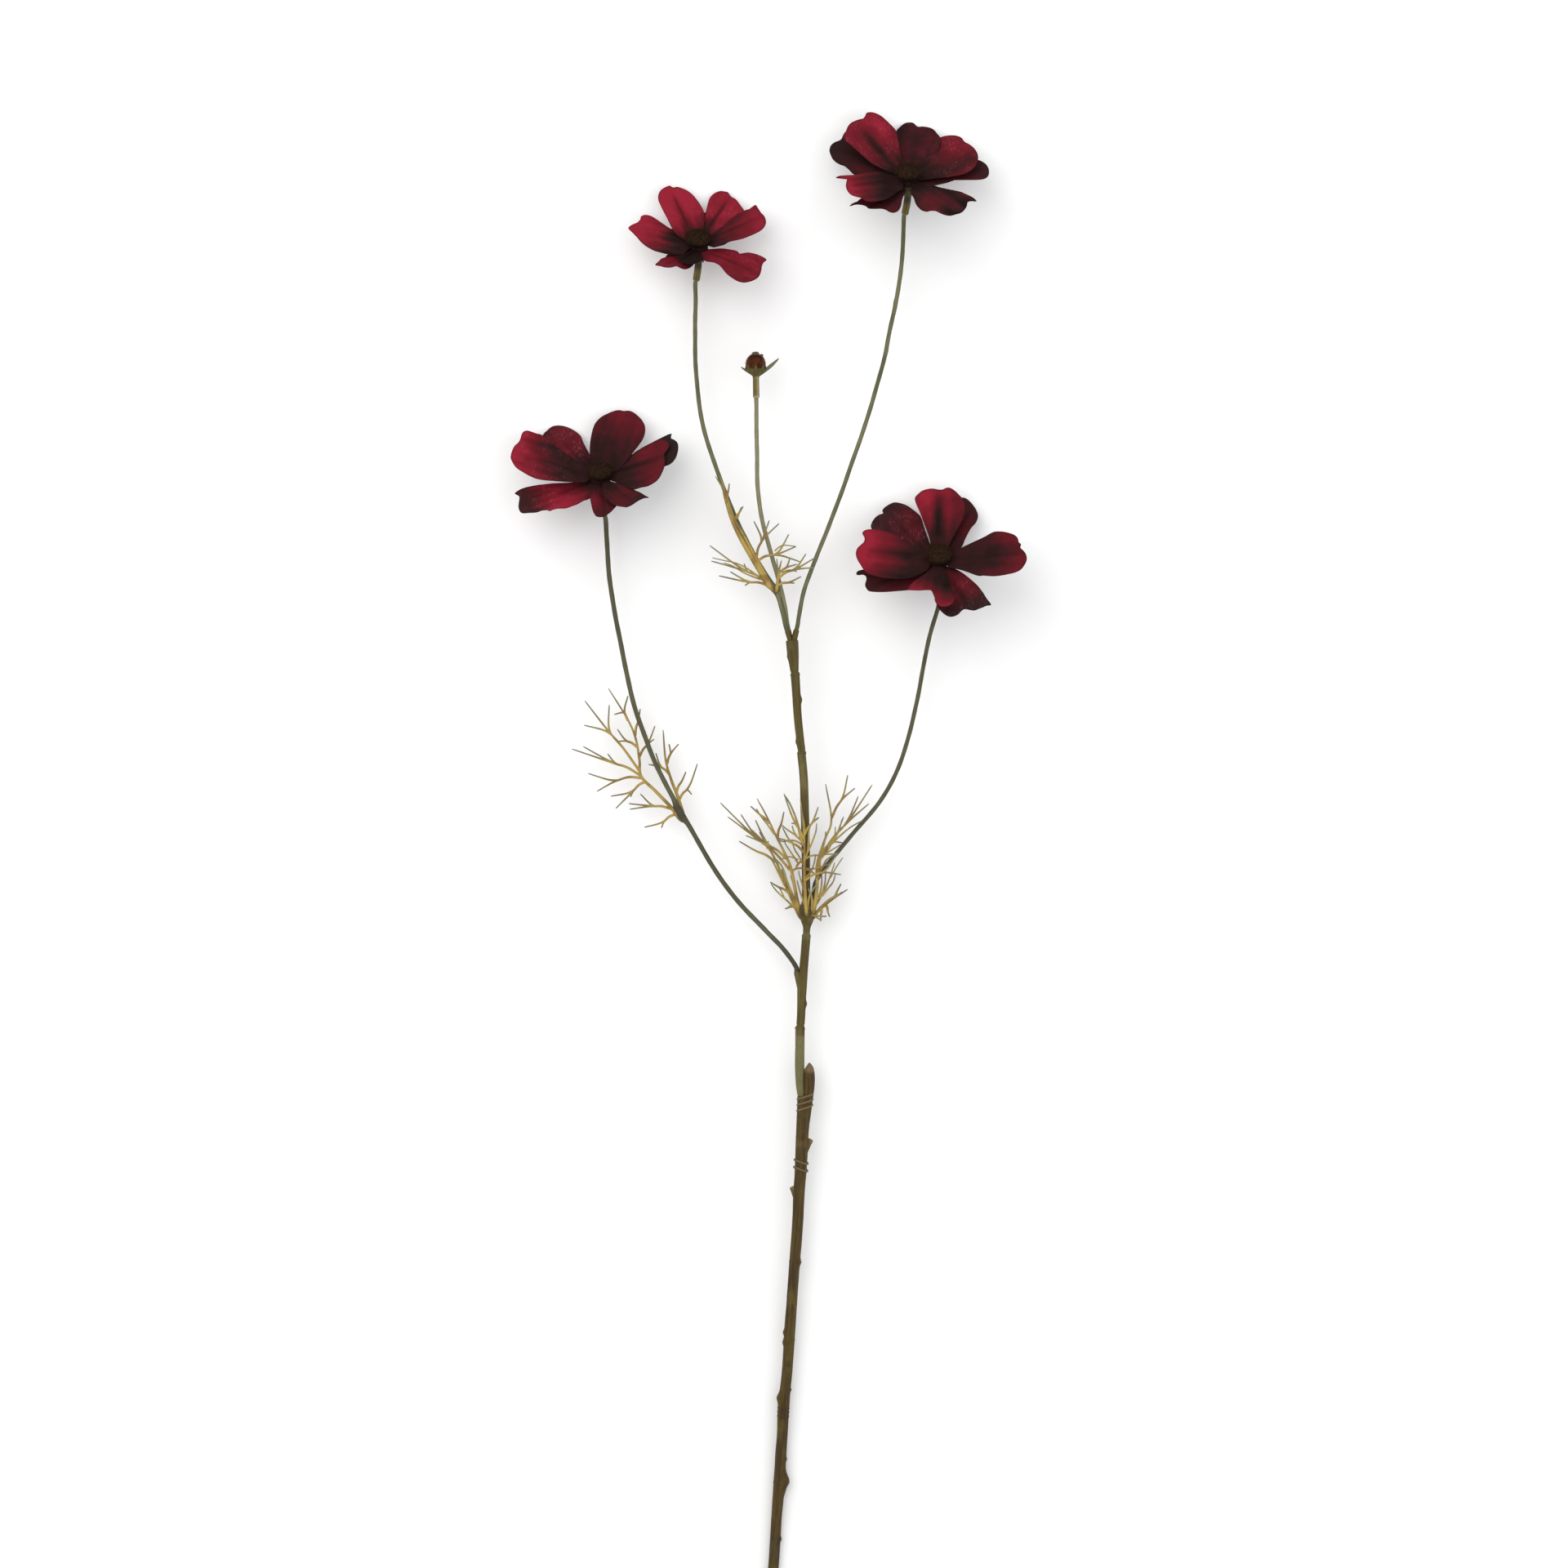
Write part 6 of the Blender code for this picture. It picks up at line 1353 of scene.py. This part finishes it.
def fibre_group():
    """Streaks along the grain: noise that is fine across it and long along it."""
    group, source, result = new_group("fibre_streaks", Across=2.0, Along=0.2, Contrast=0.2)
    across, along, contrast = (source.outputs[label] for label in ("Across", "Along", "Contrast"))
    scale = add_node(group, "ShaderNodeCombineXYZ", X=across, Y=across, Z=along)
    place = add_node(group, "ShaderNodeVectorMath", {"operation": "MULTIPLY"},
                     n0=mark(group, "grain", "Vector"), n1=scale.outputs[0])
    streaks = add_node(group, "ShaderNodeTexNoise", Vector=place.outputs[0], Scale=1.0, Detail=4.0,
                       Roughness=0.62)
    mask = remapped(group, streaks.outputs["Fac"], maths(group, "SUBTRACT", 0.5, contrast),
                    maths(group, "ADD", 0.5, contrast))
    group.links.new(mask, result.inputs["Mask"])
    return group


def grouped(tree, group, **inputs):
    """A group placed in a material with its own values; gives its mask."""
    node = tree.nodes.new("ShaderNodeGroup")
    node.node_tree = group
    for name, value in inputs.items():
        node.inputs[name].default_value = value
    return node.outputs["Mask"]


def new_material(name, roughness, **shader_values):
    """A material with constant values set on its Principled shader."""
    material = bpy.data.materials.new(name)
    material.use_nodes = True
    tree = material.node_tree
    shader = tree.nodes["Principled BSDF"]
    shader.inputs["Roughness"].default_value = roughness
    for label, value in shader_values.items():
        shader.inputs[label.replace("_", " ")].default_value = value
    return material, tree, shader


def bumped(tree, shader, height, distance):
    """Feeds a height into the shader's normal."""
    bump = add_node(tree, "ShaderNodeBump", Strength=BUMP_STRENGTH, Distance=distance,
                    Height=height)
    tree.links.new(bump.outputs[0], shader.inputs["Normal"])


def ramped(tree, value, stops):
    """A colour for a value that runs through stops of (value, colour), as a socket."""
    low, high = stops[0][0], stops[-1][0]
    share = add_node(tree, "ShaderNodeMapRange", n0=value, n1=low, n2=high)
    node = add_node(tree, "ShaderNodeValToRGB", Fac=share.outputs[0])
    ramp = node.color_ramp
    for place, colour in stops[1:-1]:
        ramp.elements.new((place - low) / (high - low)).color = (*colour, 1.0)
    ramp.elements[0].color = (*stops[0][1], 1.0)
    ramp.elements[-1].color = (*stops[-1][1], 1.0)
    return node.outputs["Color"]


def painted_cloth_sheen(tree):
    """Painted sheen: thin soft pale strokes across the spray, where a slow noise gathers them."""
    place = add_node(tree, "ShaderNodeTexCoord").outputs["Object"]
    bend = add_node(tree, "ShaderNodeTexNoise", Vector=place, Scale=200.0, Detail=1.0)
    bent = add_node(tree, "ShaderNodeVectorMath", {"operation": "MULTIPLY_ADD"},
                    n0=bend.outputs["Color"], n1=(0.0015, 0.0015, 0.0015), n2=place)
    drawn = add_node(tree, "ShaderNodeVectorMath", {"operation": "MULTIPLY"}, n0=bent.outputs[0],
                     n1=(1700.0, 320.0, 800.0))
    strokes = add_node(tree, "ShaderNodeTexNoise", Vector=drawn.outputs[0], Scale=1.0, Detail=2.0)
    return maths(tree, "MULTIPLY", remapped(tree, strokes.outputs["Fac"], 0.5, 0.86),
                 remapped(tree, noise(tree, 170.0), 0.4, 0.64))


def cloth_material():
    """Petal cloth from black-brown to crimson, with faint veins, pale strokes of painted sheen and
    a dark edge.
    """
    material, tree, shader = new_material("petal_cloth", 0.85, Specular_IOR_Level=0.02)
    veins = grouped(tree, FIBRES, Across=0.5, Along=0.04, Contrast=0.3)
    threads = grouped(tree, FIBRES, Across=4.0, Along=0.9, Contrast=0.35)
    clouds = noise(tree, 170.0, 3.0)
    red = maths(tree, "ADD", remapped(tree, clouds, 0.25, 0.75, -0.09, 0.09), mark(tree, "red"),
                clamp=False)
    red = maths(tree, "ADD", red, remapped(tree, veins, 0.0, 1.0, -0.05, 0.05), clamp=False)
    colour = ramped(tree, red, [
        (-0.2, (0.0075, 0.0042, 0.0030)), (0.0, (0.0165, 0.0078, 0.0062)),
        (0.2, (0.034, 0.0088, 0.0098)), (0.5, (0.088, 0.0086, 0.0122)),
        (0.8, (0.165, 0.0100, 0.0190)), (1.1, (0.280, 0.0145, 0.0310))])
    colour = mixed(tree, threads, colour, (0.12, 0.040, 0.050, 1), most=0.12)
    # Pale pink strokes of painted sheen, where the petal's sheen mark allows them.
    light = maths(tree, "MULTIPLY", mark(tree, "pile"),
                  maths(tree, "MULTIPLY", painted_cloth_sheen(tree), 0.6))
    colour = mixed(tree, light, colour, (0.34, 0.12, 0.15, 1))
    colour = mixed(tree, mark(tree, "grey"), colour, (0.028, 0.018, 0.017, 1), most=0.75)
    margin = maths(tree, "MULTIPLY", mark(tree, "margin"),
                   remapped(tree, clouds, 0.35, 0.6, 0.15, 0.75))
    colour = mixed(tree, margin, colour, (0.020, 0.011, 0.012, 1))
    tree.links.new(colour, shader.inputs["Base Color"])
    bumped(tree, shader, maths(tree, "ADD", maths(tree, "MULTIPLY", veins, 0.6),
                               maths(tree, "MULTIPLY", threads, 0.4)), 0.00025)
    return material


def flock_material(name, dark, light, hair):
    """Fuzzy flock: dark ground, lighter hairs, and slow changes of tone."""
    material, tree, shader = new_material(name, 0.95, Specular_IOR_Level=0.05)
    clouds = noise(tree, 700.0, 4.0)
    colour = mixed(tree, remapped(tree, clouds, 0.35, 0.65), dark, light)
    colour = mixed(tree, maths(tree, "MULTIPLY", mark(tree, "light"), clouds), colour, hair)
    tree.links.new(colour, shader.inputs["Base Color"])
    bumped(tree, shader, clouds, 0.0004)
    return material


def skin_material(name, roughness, tones, streaks, patch_scale):
    """Coated stem: three tones in streaks along it, blotches, and pale and deep marked places."""
    material, tree, shader = new_material(name, roughness, Specular_IOR_Level=0.2)
    dark, middle, pale, marked, deep = tones
    long_lines = grouped(tree, FIBRES, Across=streaks, Along=0.05, Contrast=0.13)
    pale_lines = grouped(tree, FIBRES, Across=streaks * 0.8, Along=0.035, Contrast=0.06)
    short_lines = grouped(tree, FIBRES, Across=streaks * 3, Along=0.4, Contrast=0.22)
    blotches = noise(tree, patch_scale, 5.0, 0.6)
    colour = mixed(tree, long_lines, dark, middle)
    patch = maths(tree, "MULTIPLY", pale_lines, remapped(tree, blotches, 0.42, 0.66))
    colour = mixed(tree, patch, colour, pale)
    light = mark(tree, "light")
    colour = mixed(tree, light, colour, marked)
    colour = mixed(tree, maths(tree, "MULTIPLY", light, -1.0), colour, deep)
    colour = mixed(tree, short_lines, colour, dark, most=0.4)
    tree.links.new(colour, shader.inputs["Base Color"])
    shine = remapped(tree, blotches, 0.2, 0.8, roughness - 0.12, roughness + 0.12)
    tree.links.new(shine, shader.inputs["Roughness"])
    bumped(tree, shader, maths(tree, "ADD", maths(tree, "MULTIPLY", long_lines, 0.5),
                               maths(tree, "MULTIPLY", short_lines, 0.5)), 0.0003)
    return material


def leaf_material():
    """Leaf needles: ochre at the rib, olive further out, grey-green at the tips, browner edges."""
    material, tree, shader = new_material("leaf_skin", 0.6, Specular_IOR_Level=0.2)
    age = mark(tree, "age")
    patch = remapped(tree, noise(tree, 150.0, 3.0), 0.42, 0.6)
    lines = grouped(tree, FIBRES, Across=3.0, Along=0.1, Contrast=0.25)
    ochre = mixed(tree, patch, (0.47, 0.325, 0.078, 1), (0.28, 0.175, 0.044, 1))
    olive = mixed(tree, patch, (0.37, 0.300, 0.088, 1), (0.240, 0.185, 0.066, 1))
    grey = mixed(tree, patch, (0.225, 0.225, 0.155, 1), (0.190, 0.165, 0.145, 1))
    colour = mixed(tree, remapped(tree, age, 0.2, 0.7), ochre, olive)
    colour = mixed(tree, remapped(tree, age, 0.6, 0.98), colour, grey)
    browning = maths(tree, "ADD", 0.25, maths(tree, "MULTIPLY", lines, 0.4))
    browning = maths(tree, "MULTIPLY", browning, remapped(tree, age, 0.3, 0.9, 1.0, 0.4))
    brown = maths(tree, "MULTIPLY", mark(tree, "edge"), browning)
    colour = mixed(tree, brown, colour, (0.105, 0.062, 0.035, 1))
    colour = mixed(tree, lines, colour, (0.11, 0.07, 0.03, 1), most=0.2)
    root = remapped(tree, age, 0.0, 0.08, 0.85, 0.0)
    colour = mixed(tree, root, colour, (0.085, 0.058, 0.024, 1))
    tree.links.new(colour, shader.inputs["Base Color"])
    bumped(tree, shader, lines, 0.0002)
    return material


def floor_material():
    """A plain pale floor with a faint even grain."""
    material, tree, shader = new_material("pale_floor", 0.9, Specular_IOR_Level=0.1)
    colour = mixed(tree, noise(tree, 40.0), (0.90, 0.90, 0.90, 1), (0.93, 0.93, 0.93, 1))
    tree.links.new(colour, shader.inputs["Base Color"])
    return material


def area_light(name, place, size, power, colour):
    """A square soft light at a place, facing the middle of the spray."""
    light = bpy.data.lights.new(name, "AREA")
    light.size = size
    light.energy = power
    light.color = colour
    lamp = bpy.data.objects.new(name, light)
    lamp.location = place
    lamp.rotation_mode = "QUATERNION"
    lamp.rotation_quaternion = (Vector(LIT_PLACE) - Vector(place)).to_track_quat("-Z", "Y")
    bpy.context.scene.collection.objects.link(lamp)


def build_studio():
    """Floor, soft lights, pale surroundings and the camera, which looks straight down."""
    corners = [(x * FLOOR_HALF_WIDTH, y * FLOOR_HALF_WIDTH, -FLOOR_DROP)
               for x, y in ((-1, -1), (1, -1), (1, 1), (-1, 1))]
    mesh = bpy.data.meshes.new("floor")
    mesh.from_pydata(corners, [], [(0, 1, 2, 3)])
    mesh.materials.append(floor_material())
    ground = bpy.data.objects.new("studio_floor", mesh)
    bpy.context.scene.collection.objects.link(ground)

    for light in LIGHTS:
        area_light(*light)
    world = bpy.data.worlds.new("studio")
    world.use_nodes = True
    background = world.node_tree.nodes["Background"]
    background.inputs["Color"].default_value = (1.0, 1.0, 1.0, 1.0)
    background.inputs["Strength"].default_value = SURROUND_STRENGTH
    bpy.context.scene.world = world
    bpy.context.scene.view_settings.view_transform = "Standard"

    lens = bpy.data.cameras.new("camera")
    lens.lens = LENS
    lens.sensor_width = 36.0
    lens.clip_start = 0.01
    lens.clip_end = 50.0
    camera = bpy.data.objects.new("camera", lens)
    camera.location = EYE
    bpy.context.scene.collection.objects.link(camera)
    bpy.context.scene.camera = camera


FIBRES = fibre_group()
CLOTH = cloth_material()
DISC_FLOCK = flock_material("disc_flock_hair", (0.022, 0.0110, 0.0060, 1),
                            (0.040, 0.0205, 0.0110, 1), (0.050, 0.0275, 0.015, 1))
BUD_FLOCK = flock_material("bud_flock_hair", (0.050, 0.018, 0.007, 1),
                           (0.130, 0.036, 0.015, 1), (0.33, 0.17, 0.11, 1))
BROWN_BARK = skin_material("brown_bark", 0.55, (
    (0.038, 0.021, 0.004, 1), (0.088, 0.053, 0.007, 1), (0.112, 0.084, 0.015, 1),
    (0.215, 0.150, 0.080, 1), (0.026, 0.016, 0.010, 1)), streaks=0.9, patch_scale=60.0)
OLIVE_BARK = skin_material("olive_bark", 0.55, (
    (0.060, 0.043, 0.010, 1), (0.112, 0.084, 0.018, 1), (0.165, 0.132, 0.048, 1),
    (0.185, 0.180, 0.078, 1), (0.044, 0.030, 0.010, 1)), streaks=1.1, patch_scale=45.0)
STALK_SKIN = skin_material("stalk_skin", 0.55, (
    (0.070, 0.068, 0.030, 1), (0.135, 0.140, 0.068, 1), (0.210, 0.205, 0.110, 1),
    (0.27, 0.25, 0.145, 1), (0.052, 0.043, 0.030, 1)), streaks=1.6, patch_scale=35.0)
CALYX_SKIN = skin_material("calyx_skin", 0.5, (
    (0.085, 0.060, 0.016, 1), (0.175, 0.140, 0.030, 1), (0.240, 0.205, 0.060, 1),
    (0.42, 0.37, 0.19, 1), (0.028, 0.020, 0.010, 1)), streaks=1.4, patch_scale=160.0)
LEAF_SKIN = leaf_material()

for bloom_key, bloom_facts in BLOOMS.items():
    build_stalk(bloom_key, *build_bloom(bloom_key, bloom_facts))
build_stalk("bud", *build_bud())
build_lower_stem()
build_upper_stem()
for leaf_name, leaf_facts in LEAVES.items():
    build_leaf(leaf_name, leaf_facts)
build_studio()
